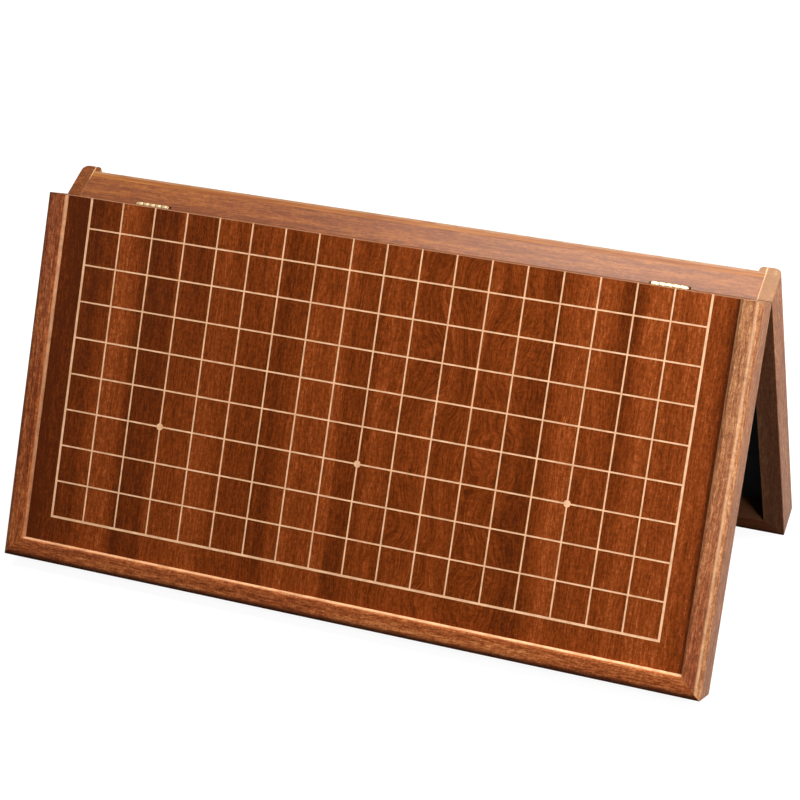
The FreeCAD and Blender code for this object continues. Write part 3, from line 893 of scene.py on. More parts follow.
class BoardFaces:
    """Masks over the faces of one board, for its cut end, the faces it leaves without lacquer,
    and the painted highlights and painted shade on it.

    Spans are in millimetres. Those of the lip's painted highlight, the well's face, the outer
    arris and the foot's painted shade are measured from the inner or the outer face of the rail.
    """

    FROM_HINGE = (-0.30, -0.15)
    # Painted shade: a side rail turns darker and redder away from the hinge and inwards, where
    # the light falls off.
    FALLOFF_SHADE_DEPTH = (-225.0, -50.0)
    FALLOFF_SHADE_ACROSS = (LEAF.half_length - 6.0, LEAF.half_length - 3.0)
    # Where the painted highlight lies inside a lip and along an outer arris, and how strong it
    # is.
    LIP_HIGHLIGHT = (0.2, 1.4)
    LIP_FROM_FOOT = (0.22, 0.50)
    LIP_FROM_END = (0.55, 0.95)
    ARRIS_RISE = (-4.8, -3.5)
    ARRIS_FALL = (-3.3, -1.8)
    ARRIS_HEIGHT = (20.0, 22.0)
    HIGHLIGHT_PATCH = NoiseLayer((150.0, 150.0, 150.0), 4.0, 0.7, span=(0.3, 0.6),
                              values=(0.5, 1.0))
    # Painted shade under the board and inside the well, where the lacquer is also left off.
    UNDERSIDE_HEIGHT = (0.15, 0.45)
    UNDERSIDE_SHADE_AND_BARE = 0.76
    WELL_HEIGHT = (LEAF.panel_under - 0.6, LEAF.panel_under)
    WELL_SHADE_AND_BARE = 0.90
    WELL_FACE = (0.15, 0.4)
    # A painted highlight along the joint of the hinge edge and a side rail.
    JOINT_HIGHLIGHT_RISE = (LEAF.panel_half - 0.3, LEAF.panel_half - 0.1)
    JOINT_HIGHLIGHT_FALL = (LEAF.panel_half + 0.5, LEAF.panel_half + 0.8)
    JOINT_HIGHLIGHT_HEIGHT = (13.0, 21.0)
    # Painted shade towards the outer face of the outer rail.
    FOOT_RISE = (-5.0, -1.6)
    FOOT_SHADE = 0.88
    CUT_STREAK = NoiseLayer((60.0, 900.0, 1500.0), 4.0, 0.65, span=(0.3, 0.6),
                            values=(0.3, 0.95))
    CORE_STREAK = NoiseLayer((6.0, 190.0, 190.0), 5.0, 0.78, span=(0.32, 0.68),
                             values=(0.25, 0.72))
    CORE_HEIGHT = (21.0, 21.4)
    CORE_EDGE = (0.0, 0.2)

    def __init__(self, wiring: Wiring, space: LeafSpace, grain: Grain,
                 lip: Optional[Span]) -> None:
        """Find the place on the board.

        Args:
            wiring: the material's wiring.
            space: the leaf that the board belongs to.
            grain: the way the board runs.
            lip: the inner and the outer face of a lipped rail.
        """
        self.wiring = wiring
        self.lip = lip
        self.leaves_hinge = grain is Grain.DEPTH
        self.place = object_place(wiring, space, Grain.DEPTH, 0.0)
        parts = wiring.add("ShaderNodeSeparateXYZ", {0: self.place}).outputs
        self.along, self.depth, self.height = parts[0], parts[1], parts[2]
        self.across = wiring.sum("ABSOLUTE", self.along if self.leaves_hinge else self.depth)

    def fade(self, distance: NodeSocket, span: Span, values: Span = (0.0, 1.0),
             base: float = 0.0, kind: str = "SMOOTHSTEP") -> NodeSocket:
        """Map a distance to a share.

        Args:
            distance: the distance, in metres.
            span: the range over which the share changes, in millimetres.
            values: the share before and after it.
            base: the place that the range is measured from, in millimetres.
            kind: how it goes between them.

        Returns:
            The share.
        """
        low, high = ((base + limit) * MM for limit in span)
        return self.wiring.spread(distance, low, high, *values, kind)

    def both(self, first: Feed, second: Feed) -> NodeSocket:
        """Give the share that two masks have in common."""
        return self.wiring.sum("MULTIPLY", first, second)

    def falloff_shade(self) -> NodeSocket:
        """Give the painted shade that turns a side rail darker and redder away from the hinge
        and inwards.
        """
        turning = self.fade(self.depth, self.FALLOFF_SHADE_DEPTH, (1.0, 0.0), kind="LINEAR")
        return self.both(turning, self.fade(self.across, self.FALLOFF_SHADE_ACROSS, (1.0, 0.0)))

    def painted_highlights(self, arris: float) -> NodeSocket:
        """Tell where a painted highlight lies on a lipped rail, inside its lip and along its
        outer arris.

        Args:
            arris: how strong the painted highlight on its outer arris is.

        Returns:
            Its share.
        """
        end = LEAF.half_length
        if self.leaves_hinge:
            amount = self.fade(self.depth, (-end, 0.0), self.LIP_FROM_FOOT, kind="LINEAR")
        else:
            amount = self.fade(self.along, (-end, end), self.LIP_FROM_END, kind="LINEAR")
        inner, outer = self.lip
        painted_highlights = self.both(self.fade(self.across, self.LIP_HIGHLIGHT, (1.0, 0.0), inner), amount)
        if arris:
            rise = self.fade(self.across, self.ARRIS_RISE, (0.0, arris), outer)
            fall = self.fade(self.across, self.ARRIS_FALL, (1.0, 0.0), outer)
            arris_highlight = self.both(self.both(rise, fall), self.fade(self.height, self.ARRIS_HEIGHT))
            painted_highlights = self.wiring.sum("MAXIMUM", painted_highlights, arris_highlight)
        return self.both(painted_highlights, self.HIGHLIGHT_PATCH.wire(self.wiring, self.place))

    def shaded_unlacquered(self) -> NodeSocket:
        """Tell which faces of a rail, under the board and inside the well, get painted shade and
        lose their lacquer.
        """
        under = self.fade(self.height, self.UNDERSIDE_HEIGHT, (self.UNDERSIDE_SHADE_AND_BARE, 0.0))
        below = self.fade(self.height, self.WELL_HEIGHT, (self.WELL_SHADE_AND_BARE, 0.0))
        inside = self.fade(self.across, self.WELL_FACE, (1.0, 0.0), self.lip[0])
        return self.wiring.sum("MAXIMUM", under, self.both(below, inside))

    def joint_highlight_line(self, strength: Span) -> NodeSocket:
        """Tell where a painted highlight runs along the hinge edge, at a side rail's joint.

        Args:
            strength: how bright the painted highlight is towards the underside and towards the
                play side.

        Returns:
            Its share.
        """
        share = self.fade(self.height, self.JOINT_HIGHLIGHT_HEIGHT, strength)
        rise = self.both(self.fade(self.across, self.JOINT_HIGHLIGHT_RISE), share)
        line = self.both(rise, self.fade(self.across, self.JOINT_HIGHLIGHT_FALL, (1.0, 0.0)))
        return self.both(line, self.fade(self.depth, self.FROM_HINGE))

    def foot(self) -> NodeSocket:
        """Tell where painted shade darkens a lipped rail towards its outer face, the edge that
        the board stands on.
        """
        return self.fade(self.across, self.FOOT_RISE, (0.0, self.FOOT_SHADE), self.lip[1])

    def cut_edge(self) -> NodeSocket:
        """Tell where a board shows its sawn end beside the hinge, streaked along the leaf."""
        streak = self.CUT_STREAK.wire(self.wiring, self.place)
        return self.both(self.fade(self.depth, self.FROM_HINGE), streak)

    def edge_core(self, edge: NodeSocket) -> tuple[NodeSocket, NodeSocket]:
        """Find the core of a board's edge, under its face.

        Args:
            edge: where the board's edge is.

        Returns:
            The core's share and its tone.
        """
        below = self.fade(self.height, self.CORE_HEIGHT, (1.0, 0.0))
        share = self.both(below, self.wiring.spread(edge, *self.CORE_EDGE))
        return share, self.CORE_STREAK.wire(self.wiring, self.place)


@dataclass(frozen=True)
class LacqueredWood:
    """A satin lacquered hardwood."""

    name: str
    stops: Stops
    # Colours of a painted shade that darkens a side rail away from the hinge and inwards.
    falloff_shade_stops: Stops = ()
    core_stops: Stops = ()
    band: float = 0.5
    ribbon: float = 0.5
    streak: float = 0.3
    fibre: float = 0.3
    curl: float = 0.1
    swirl: float = 0.1
    pores: float = 0.5
    pore_colour: Colour = (0.05, 0.014, 0.005)
    roughness: float = 0.42
    handling: float = 0.12
    edge_colour: Colour = (0.28, 0.145, 0.068)
    # The next three colours are painted: a highlight on the lip, the arris and the hinge-edge
    # joint, shade on the outer foot, and shade under the board and in the well.
    highlight_colour: Colour = (0.80, 0.48, 0.26)
    foot_shade_colour: Colour = (0.045, 0.013, 0.006)
    underside_shade_colour: Colour = (0.062, 0.019, 0.008)
    # How strong the painted highlights on the outer arris and on the hinge-edge joint are.
    arris: float = 0.0
    joint_highlight: Span = (0.08, 0.50)
    lacquer: float = 0.08
    lacquer_roughness: float = 0.38
    edge_lacquer: float = 0.0
    relief: float = 0.12
    relief_strength: float = 0.5

    SWAY = NoiseLayer((9.0, 7.0, 9.0))
    SWAY_WIDTH = 11.0
    SWIRL_FADE = 40.0

    def material(self, space: LeafSpace, grain: Grain, seed: float,
                 ribbons: Sequence[tuple[float, float]] = (),
                 swirl_between: Optional[Span] = None,
                 lip: Optional[Span] = None) -> Material:
        """Build the finish for one board.

        Args:
            space: the leaf that the board belongs to.
            grain: the way its fibres run.
            seed: makes this board differ from others.
            ribbons: broad bands of this very board, as (place in millimetres, tone).
            swirl_between: where along the leaf the grain swirls, in millimetres.
            lip: the inner and the outer face of a lipped rail, in millimetres.

        Returns:
            The material.
        """
        material, wiring, shader = new_material(f"{self.name} {space.name} {seed:g}")
        place = object_place(wiring, space, grain, seed)
        faces = BoardFaces(wiring, space, grain, lip)
        feeds: dict[str, Feed] = {"Place": place, "Band": self.band, "Ribbon": self.ribbon,
                                  "Streak": self.streak, "Fibre": self.fibre,
                                  "Curl": self.curl, "Swirl": self.swirl, "Pores": self.pores}
        if ribbons:
            feeds["Band"] = self.laid_ribbons(faces, ribbons)
        if swirl_between:
            feeds["Swirl"] = self.swirl_zone(faces, swirl_between)
        figure = WoodFigure.use(wiring, feeds)
        colour = wiring.ramp(figure["Tone"], self.stops)
        # Painted shade, darker and redder away from the hinge and inwards.
        if self.falloff_shade_stops:
            shaded_colour = wiring.ramp(figure["Tone"], self.falloff_shade_stops)
            colour = wiring.blend(faces.falloff_shade(), colour, shaded_colour)
        colour = wiring.blend(figure["Pore mask"], colour, self.pore_colour)
        colour, bare = self.dress_faces(faces, colour)
        coat: Feed = self.lacquer
        if bare is not None:
            coat = wiring.spread(bare, 0.0, 1.0, self.lacquer, self.edge_lacquer, "LINEAR")
        rough = Handling.use(wiring, {"Place": place, "Base": self.roughness,
                                      "Amount": self.handling})
        wiring.fill(shader, {"Base Color": colour, "Roughness": rough[0], "Coat Weight": coat,
                             "Coat Roughness": self.lacquer_roughness,
                             "Specular IOR Level": 0.0})
        wiring.relief(shader, figure["Height"], self.relief_strength, self.relief)
        return material

    def dress_faces(self, faces: BoardFaces,
                    colour: NodeSocket) -> tuple[NodeSocket, Optional[NodeSocket]]:
        """Colour the cut end, the painted highlights and the painted shade.

        Args:
            faces: the masks of the board.
            colour: its colour so far.

        Returns:
            Its new colour, and how bare it is, or None where it is lacquered all over.
        """
        wiring = faces.wiring
        if faces.lip:
            # Painted highlight inside the lip and along the outer arris.
            colour = wiring.blend(faces.painted_highlights(self.arris), colour, self.highlight_colour)
        if faces.leaves_hinge:
            bare = faces.cut_edge()
            colour = wiring.blend(bare, colour, self.edge_colour)
        elif faces.lip:
            # Painted shade on the outer rail's outer face, with less lacquer there.
            bare = faces.foot()
            colour = wiring.blend(bare, colour, self.foot_shade_colour)
        else:
            return colour, None
        if self.core_stops:
            share, tone = faces.edge_core(bare)
            colour = wiring.blend(share, colour, wiring.ramp(tone, self.core_stops))
        if faces.lip:
            # Painted shade under the board and inside the well, with the lacquer left off there.
            hidden = faces.shaded_unlacquered()
            colour = wiring.blend(hidden, colour, self.underside_shade_colour)
            bare = wiring.sum("MAXIMUM", bare, hidden)
            if faces.leaves_hinge:
                # Painted highlight along the joint at the hinge edge.
                colour = wiring.blend(faces.joint_highlight_line(self.joint_highlight), colour, self.highlight_colour)
        return colour, bare

    def laid_ribbons(self, faces: BoardFaces,
                     ribbons: Sequence[tuple[float, float]]) -> NodeSocket:
        """Lay broad bands over a board.

        Args:
            faces: the place on the board.
            ribbons: the bands, as (place in millimetres, tone).

        Returns:
            The tone of the band.
        """
        wiring = faces.wiring
        sway = wiring.sum("SUBTRACT", self.SWAY.wire(wiring, faces.place), 0.5)
        swayed = wiring.sum("MULTIPLY_ADD", sway, self.SWAY_WIDTH * MM, faces.along)
        first, last = ribbons[0][0], ribbons[-1][0]
        share = faces.fade(swayed, (first, last), kind="LINEAR")
        length = last - first
        stops = [((spot - first) / length, (tone, tone, tone)) for spot, tone in ribbons]
        return wiring.ramp(share, stops, "EASE")

    def swirl_zone(self, faces: BoardFaces, between: Span) -> NodeSocket:
        """Let the grain swirl in part of a board.

        Args:
            faces: the place on the board.
            between: where it swirls, in millimetres.

        Returns:
            How much it swirls.
        """
        soft = (-self.SWIRL_FADE, self.SWIRL_FADE)
        rise = faces.fade(faces.along, soft, base=between[0])
        fall = faces.fade(faces.along, soft, (1.0, 0.0), between[1])
        return faces.wiring.sum("MULTIPLY_ADD", faces.both(rise, fall), 1.0 - self.swirl,
                                self.swirl)


@dataclass(frozen=True)
class InlayStrip:
    """Pale satin strips let into the play surface."""

    pale: Colour = (0.81, 0.472, 0.262)
    deep: Colour = (0.635, 0.348, 0.180)
    roughness: float = 0.5
    handling: float = 0.1

    TONE = NoiseLayer((160.0, 160.0, 160.0), 3.0, 0.6, span=(0.32, 0.68))

    def material(self, space: LeafSpace) -> Material:
        """Build the finish of one leaf's lines.

        Args:
            space: the leaf.

        Returns:
            The material.
        """
        material, wiring, shader = new_material(f"Inlay {space.name}")
        place = object_place(wiring, space, Grain.DEPTH, 0.0)
        tone = self.TONE.wire(wiring, place)
        rough = Handling.use(wiring, {"Place": place, "Base": self.roughness,
                                      "Amount": self.handling})
        wiring.fill(shader, {"Base Color": wiring.blend(tone, self.deep, self.pale),
                             "Roughness": rough[0]})
        return material


@dataclass(frozen=True)
class BlackFelt:
    """Short black felt."""

    deep: Colour = (0.003, 0.003, 0.003)
    pile: Colour = (0.016, 0.014, 0.014)
    roughness: float = 0.95
    specular: float = 0.1
    sheen: float = 0.03
    sheen_roughness: float = 0.5
    tuft_share: float = 0.6
    tuft_relief: float = 0.5
    tuft_strength: float = 0.7
    seed: float = 3.0

    TUFT = NoiseLayer((900.0, 900.0, 900.0), 4.0, 0.7, 1.2)
    PATCH = NoiseLayer((45.0, 45.0, 45.0), 2.0, 0.5, 0.8, span=(0.3, 0.7))

    def material(self, space: LeafSpace) -> Material:
        """Build the finish of one leaf's linings.

        Args:
            space: the leaf.

        Returns:
            The material.
        """
        material, wiring, shader = new_material(f"Felt {space.name}")
        place = object_place(wiring, space, Grain.DEPTH, self.seed)
        tuft = self.TUFT.wire(wiring, place)
        tufts = wiring.sum("MULTIPLY", tuft, self.tuft_share)
        share = wiring.sum("MULTIPLY_ADD", self.PATCH.wire(wiring, place),
                           1.0 - self.tuft_share, tufts)
        wiring.fill(shader, {"Base Color": wiring.blend(share, self.deep, self.pile),
                             "Roughness": self.roughness, "Specular IOR Level": self.specular,
                             "Sheen Weight": self.sheen,
                             "Sheen Roughness": self.sheen_roughness})
        wiring.relief(shader, tuft, self.tuft_strength, self.tuft_relief)
        return material


@dataclass(frozen=True)
class Brass:
    """Brass with a faint brushed grain and a little tarnish."""

    name: str = "Brass"
    bright: Colour = (0.93, 0.78, 0.47)
    dull: Colour = (0.70, 0.52, 0.26)
    roughness: float = 0.26
    brushing: float = 0.16
    tarnish_roughness: float = 0.25
    relief: float = 0.01
    relief_strength: float = 0.2
    seed: float = 5.0

    BRUSHED = NoiseLayer((6000.0, 220.0, 6000.0), 2.0, 0.6)
    TARNISH = NoiseLayer((260.0, 260.0, 260.0), 3.0, 0.6, 0.5, span=(0.5, 0.75),
                         values=(0.0, 0.5))

    def material(self, space: LeafSpace) -> Material:
        """Build the finish.

        Args:
            space: a leaf, whose length the brushing follows.

        Returns:
            The material.
        """
        material, wiring, shader = new_material(f"{self.name} {space.name}")
        place = object_place(wiring, space, Grain.ALONG, self.seed)
        brushed = self.BRUSHED.wire(wiring, place)
        tarnish = self.TARNISH.wire(wiring, place)
        rough = wiring.sum("MULTIPLY_ADD", brushed, self.brushing,
                           self.roughness - self.brushing / 2)
        rough = wiring.sum("MULTIPLY_ADD", tarnish, self.tarnish_roughness, rough)
        wiring.fill(shader, {"Base Color": wiring.blend(tarnish, self.bright, self.dull),
                             "Roughness": rough, "Metallic": 1.0})
        wiring.relief(shader, brushed, self.relief_strength, self.relief)
        return material


RAIL_WOOD = LacqueredWood(
    name="Rail wood",
    stops=((0.0, (0.110, 0.0240, 0.0050)), (0.3, (0.220, 0.0480, 0.0110)),
           (0.6, (0.360, 0.1020, 0.0270)), (1.0, (0.610, 0.2600, 0.0950))),
    band=0.39, ribbon=0.24, streak=0.36, fibre=0.48, curl=0.30, swirl=0.05, pores=0.55,
    pore_colour=(0.075, 0.018, 0.006), edge_colour=(0.105, 0.038, 0.015), roughness=0.40,
    lacquer=0.13, lacquer_roughness=0.24)
# Paler rail wood, with painted highlights on its outer arris and at the hinge-edge joint.
PALE_RAIL_WOOD = replace(
    RAIL_WOOD, name="Pale rail wood",
    stops=((0.0, (0.105, 0.0300, 0.0095)), (0.3, (0.205, 0.0690, 0.0240)),
           (0.6, (0.340, 0.1340, 0.0520)), (1.0, (0.590, 0.3100, 0.1500))),
    band=0.45, lacquer=0.32, lacquer_roughness=0.36, arris=0.48,
    edge_colour=(0.25, 0.145, 0.085), joint_highlight=(0.38, 0.60))
DARK_RAIL_WOOD = replace(RAIL_WOOD, name="Dark rail wood", band=0.30)
# Pale rail wood with painted shade, darker and redder away from the hinge and inwards, where the
# light falls off.
SHADED_RAIL_WOOD = replace(
    PALE_RAIL_WOOD, name="Shaded rail wood",
    falloff_shade_stops=((0.0, (0.100, 0.0200, 0.0045)), (0.3, (0.190, 0.0430, 0.0110)),
                 (0.6, (0.315, 0.0850, 0.0260)), (1.0, (0.540, 0.2200, 0.0850))))
HINGE_RAIL_WOOD = replace(
    RAIL_WOOD, name="Hinge rail wood",
    stops=((0.0, (0.076, 0.0190, 0.0030)), (0.3, (0.150, 0.0375, 0.0062)),
           (0.6, (0.250, 0.0830, 0.0155)), (1.0, (0.430, 0.2050, 0.0520))),
    band=0.35, ribbon=0.10, streak=0.3, fibre=0.30, curl=0.14,
    lacquer=0.52, lacquer_roughness=0.36)
PLAY_WOOD = LacqueredWood(
    name="Play wood",
    stops=((0.0, (0.070, 0.0120, 0.0012)), (0.3, (0.125, 0.0225, 0.0022)),
           (0.55, (0.183, 0.0350, 0.0048)), (0.8, (0.268, 0.0560, 0.0100)),
           (1.0, (0.385, 0.1000, 0.0250))),
    ribbon=0.30, streak=0.26, fibre=0.42, curl=0.30, swirl=0.08, pores=0.42,
    core_stops=HINGE_RAIL_WOOD.stops, edge_lacquer=HINGE_RAIL_WOOD.lacquer)
INNER_WOOD = LacqueredWood(
    name="Inner wood",
    stops=((0.0, (0.150, 0.050, 0.0200)), (0.5, (0.290, 0.125, 0.0600)),
           (1.0, (0.450, 0.230, 0.1250))),
    band=0.5, ribbon=0.3, fibre=0.3, curl=0.06, swirl=0.04, pores=0.4,
    pore_colour=(0.085, 0.030, 0.013), roughness=0.6, lacquer=0.08)
INLAY = InlayStrip()
FELT = BlackFelt()
BRASS = Brass()
# A darker copy of the brass that paints shade on the left hinge.
DIMMED_BRASS = Brass("Dimmed brass", (0.42, 0.31, 0.17), (0.24, 0.16, 0.075), 0.40)


class Seed:
    """The part of the pattern that each kind of board is cut from."""

    PLAY_BOARD = 0.0
    OUTER_RAIL = 1.0
    SIDE_RAIL = 2.5
    HINGE_RAIL = 6.0
    CROSS_RAIL = 8.0
    BAY = 9.0
    TRAY_WALL = 11.0
    TRAY_BOTTOM = 12.0
    TRAY_FRONT = 13.0


# ---------------------------------------------------------------------------------------------
# The play surface
# ---------------------------------------------------------------------------------------------
@dataclass
class PlayField:
    """The play panel of a leaf with its inlaid lines."""

    space: LeafSpace
    leaf: LeafSizes = LEAF
    ease: float = 0.12
    ribbons: dict[Side, tuple[tuple[float, float], ...]] = field(default_factory=lambda: {
        Side.FRONT: ((-231, 0.05), (-213, 0.10), (-200, 0.24), (-190, 0.40), (-184, 0.68),
                     (-174, 0.70), (-167, 0.36), (-160, 0.04), (-146, 0.07), (-140, 0.58),
                     (-132, 0.36), (-120, 0.34), (-102, 0.52), (-88, 0.46), (-74, 0.46),
                     (-60, 0.26), (-46, 0.46), (-22, 0.52), (-6, 0.38), (10, 0.49),
                     (60, 0.48), (112, 0.40), (132, 0.50), (152, 0.52), (168, 0.28),
                     (180, 0.62), (206, 0.66), (231, 0.46)),
        Side.REAR: ((-231, 0.40), (-200, 0.62), (-180, 0.30), (-150, 0.52), (-118, 0.22),
                    (-84, 0.56), (-40, 0.44), (0, 0.50), (30, 0.18), (52, 0.58), (96, 0.46),
                    (128, 0.70), (146, 0.26), (190, 0.50), (231, 0.34)),
    })
    swirl_between: Span = (20.0, 105.0)

    def build(self) -> None:
        """Make the panel and dress the lines."""
        name, leaf = self.space.name, self.leaf
        panel = block(Run.UP, -leaf.panel_half, 0.0, leaf.panel_half, leaf.panel_depth,
                      leaf.panel_under, leaf.play_top)
        finish = PLAY_WOOD.material(self.space, Grain.DEPTH, Seed.PLAY_BOARD,
                                    self.ribbons[self.space.side], self.swirl_between)
        put_up(panel, f"{name}_play_board", self.space, self.space.body, finish,
               [f"{name}_play_panel"], self.ease)
        lines = frame["nodes"][f"{name}_grid_lines"]
        lines.data.materials.clear()
        lines.data.materials.append(INLAY.material(self.space))
        LOG.info("%s_grid_lines: kept, with its inlay", name)


# ---------------------------------------------------------------------------------------------
# The rim
# ---------------------------------------------------------------------------------------------
@dataclass
class Rim:
    """The three lipped rails of a leaf and the rail behind its hinge edge."""

    space: LeafSpace
    leaf: LeafSizes = LEAF
    inner_round: float = 3.0
    outer_round: float = 4.5
    lower_ease: float = 0.8
    corner_ease: float = 1.6
    corner_cuts_deg: tuple[float, ...] = (15.0, 30.0, 45.0, 60.0, 75.0)
    hinge_middle: float = 176.4
    half_hinge: float = 11.0
    mortise_margin: float = 2.1
    plate_width: float = 12.0
    plate_thickness: float = 1.2
    relief_radius: float = 2.1
    relief_segments: int = 48
    side_wood: dict[tuple[Side, int], LacqueredWood] = field(default_factory=lambda: {
        (Side.FRONT, -1): DARK_RAIL_WOOD, (Side.FRONT, 1): SHADED_RAIL_WOOD,
        (Side.REAR, -1): PALE_RAIL_WOOD, (Side.REAR, 1): RAIL_WOOD})

    def section(self, outer: float, end: int = 1) -> list[Corner]:
        """Give the section of a lipped rail.

        Args:
            outer: its outer face.
            end: -1 or 1, the way the outer face looks.

        Returns:
            The corners of the section.
        """
        leaf = self.leaf
        inner = outer - leaf.rail
        housed = inner + leaf.housing
        corners = [
            Corner(inner, 0.0), Corner(outer, 0.0, self.lower_ease),
            Corner(outer, leaf.lip_top, self.outer_round),
            Corner(inner, leaf.lip_top, self.inner_round), Corner(inner, leaf.play_top),
            Corner(housed, leaf.play_top), Corner(housed, leaf.panel_under),
            Corner(inner, leaf.panel_under),
        ]
        return [Corner(end * c.across, c.up, c.radius) for c in corners]

    def ease_corner(self, shape: Wood, end: int) -> None:
        """Round the upright outer corner of a rail with a few cuts.

        Args:
            shape: the rail.
            end: -1 or 1, the end of the leaf.
        """
        centre = Vector((end * (self.leaf.half_length - self.corner_ease),
                         -(self.leaf.depth - self.corner_ease), 0.0))
        for degrees in self.corner_cuts_deg:
            angle = math.radians(degrees)
            outward = Vector((end * math.cos(angle), -math.sin(angle), 0.0))
            shape.trim(centre + outward * self.corner_ease, outward)

    def mitre(self, shape: Wood, end: int, keep_outer: bool) -> None:
        """Cut a mitre.

        Args:
            shape: the rail.
            end: -1 or 1, the end of the leaf.
            keep_outer: keep the outer rail's share of the corner.
        """
        outward = Vector((float(end), 1.0, 0.0)).normalized()
        tip = Vector((end * self.leaf.half_length, -self.leaf.depth, 0.0))
        shape.trim(tip, outward if keep_outer else -outward)

    def build(self) -> None:
        """Make the four rails."""
        self.build_outer()
        for end in (-1, 1):
            self.build_side(end)
        self.build_hinge_rail()

    def build_outer(self) -> None:
        """Make the rail away from the hinge."""
        name, leaf = self.space.name, self.leaf
        shape = Wood().sweep(Run.ALONG, self.section(leaf.depth), -leaf.half_length,
                             leaf.half_length)
        for end in (-1, 1):
            self.mitre(shape, end, True)
            self.ease_corner(shape, end)
        finish = RAIL_WOOD.material(self.space, Grain.ALONG, Seed.OUTER_RAIL,
                                    lip=(leaf.inner_depth, leaf.depth))
        put_up(shape, f"{name}_outer_lip_rail", self.space, self.space.body, finish,
               [f"{name}_outer_rail"])

    def build_side(self, end: int) -> None:
        """Make a side rail; the one at the drawer's end has its slot.

        Args:
            end: -1 or 1, the end of the leaf.
        """
        leaf = self.leaf
        side = self.space.end_name(end)
        shape = Wood().sweep(Run.DEPTH, self.section(leaf.half_length, end), 0.0, leaf.depth)
        self.mitre(shape, end, False)
        self.ease_corner(shape, end)
        inner = end * (leaf.inner_half - OVERCUT)
        housed = end * leaf.panel_half
        shape.carve(block(Run.UP, inner, -OVERCUT, housed, leaf.hinge_rail, -OVERCUT,
                          leaf.panel_under))
        if end == self.space.drawer_end:
            shape.carve(block(Run.ALONG, leaf.slot_margin, leaf.floor, leaf.slot_end,
                              leaf.panel_under, inner, end * (leaf.half_length + OVERCUT)))
        wood = self.side_wood[self.space.side, end]
        finish = wood.material(self.space, Grain.DEPTH, Seed.SIDE_RAIL + end,
                               lip=(leaf.inner_half, leaf.half_length))
        put_up(shape, f"{self.space.name}_{side}_lip_rail", self.space, self.space.body,
               finish, [f"{self.space.name}_{side}_rail"])

    def build_hinge_rail(self) -> None:
        """Make the rail behind the hinge edge, with the beds of the two hinges."""
        name, reach = self.space.name, self.leaf.panel_half
        shape = block(Run.ALONG, 0.0, 0.0, self.leaf.hinge_rail, self.leaf.panel_under,
                      -reach, reach)
        for end in (-1, 1):
            middle = end * self.hinge_middle
            shape.carve(block(Run.UP, middle - self.half_hinge, -OVERCUT,
                              middle + self.half_hinge, self.plate_width, -OVERCUT,
                              self.plate_thickness))
            shape.carve(self.barrel_bed(middle))
        finish = HINGE_RAIL_WOOD.material(self.space, Grain.ALONG, Seed.HINGE_RAIL)
        put_up(shape, f"{name}_hinge_edge_rail", self.space, self.space.body, finish,
               [f"{name}_hinge_rail"])

    def barrel_bed(self, middle: float) -> Wood:
        """Make the round cutter for a hinge's barrel.

        Args:
            middle: the middle of the hinge along the board.

        Returns:
            The cutter.
        """
        cutter = Wood()
        length = 2.0 * (self.half_hinge + self.mortise_margin) * MM
        radius = self.relief_radius * MM
        centre = Vector((middle, self.leaf.axis_gap, -self.leaf.axis_gap)) * MM
        lying = Matrix.Translation(centre) @ Matrix.Rotation(math.pi / 2, 4, "Y")
        bmesh.ops.create_cone(cutter.bm, cap_ends=True, segments=self.relief_segments,
                              radius1=radius, radius2=radius, depth=length, matrix=lying)
        return cutter


# ---------------------------------------------------------------------------------------------
# Inside a leaf
# ---------------------------------------------------------------------------------------------
@dataclass
class FeltSheet:
    """A thin cut of felt glued to a flat face."""

    space: LeafSpace
    name: str
    body: str
    node: str
    corners: tuple[float, float, float, float]
    low: float
    high: float
    rests_on: str
    squares: int = 24
    ease: float = 0.2

    def build(self) -> None:
        """Make the sheet."""
        start, near, stop, far = self.corners
        length, width = (stop - start) * MM, (far - near) * MM
        shape = Wood()
        grid = bmesh.ops.create_grid(shape.bm, x_segments=self.squares,
                                     y_segments=self.squares, size=0.5)["verts"]
        bmesh.ops.scale(shape.bm, vec=(length, width, 1.0), verts=grid)
        middle = Vector(((start + stop) / 2, -(near + far) / 2, self.low)) * MM
        bmesh.ops.translate(shape.bm, vec=middle, verts=grid)
        lift = bmesh.ops.extrude_face_region(shape.bm, geom=list(shape.bm.faces))["geom"]
        raised = [item for item in lift if isinstance(item, bmesh.types.BMVert)]
        bmesh.ops.translate(shape.bm, vec=(0.0, 0.0, (self.high - self.low) * MM), verts=raised)
        item = put_up(shape, self.name, self.space, self.body, FELT.material(self.space),
                      [self.node], self.ease)


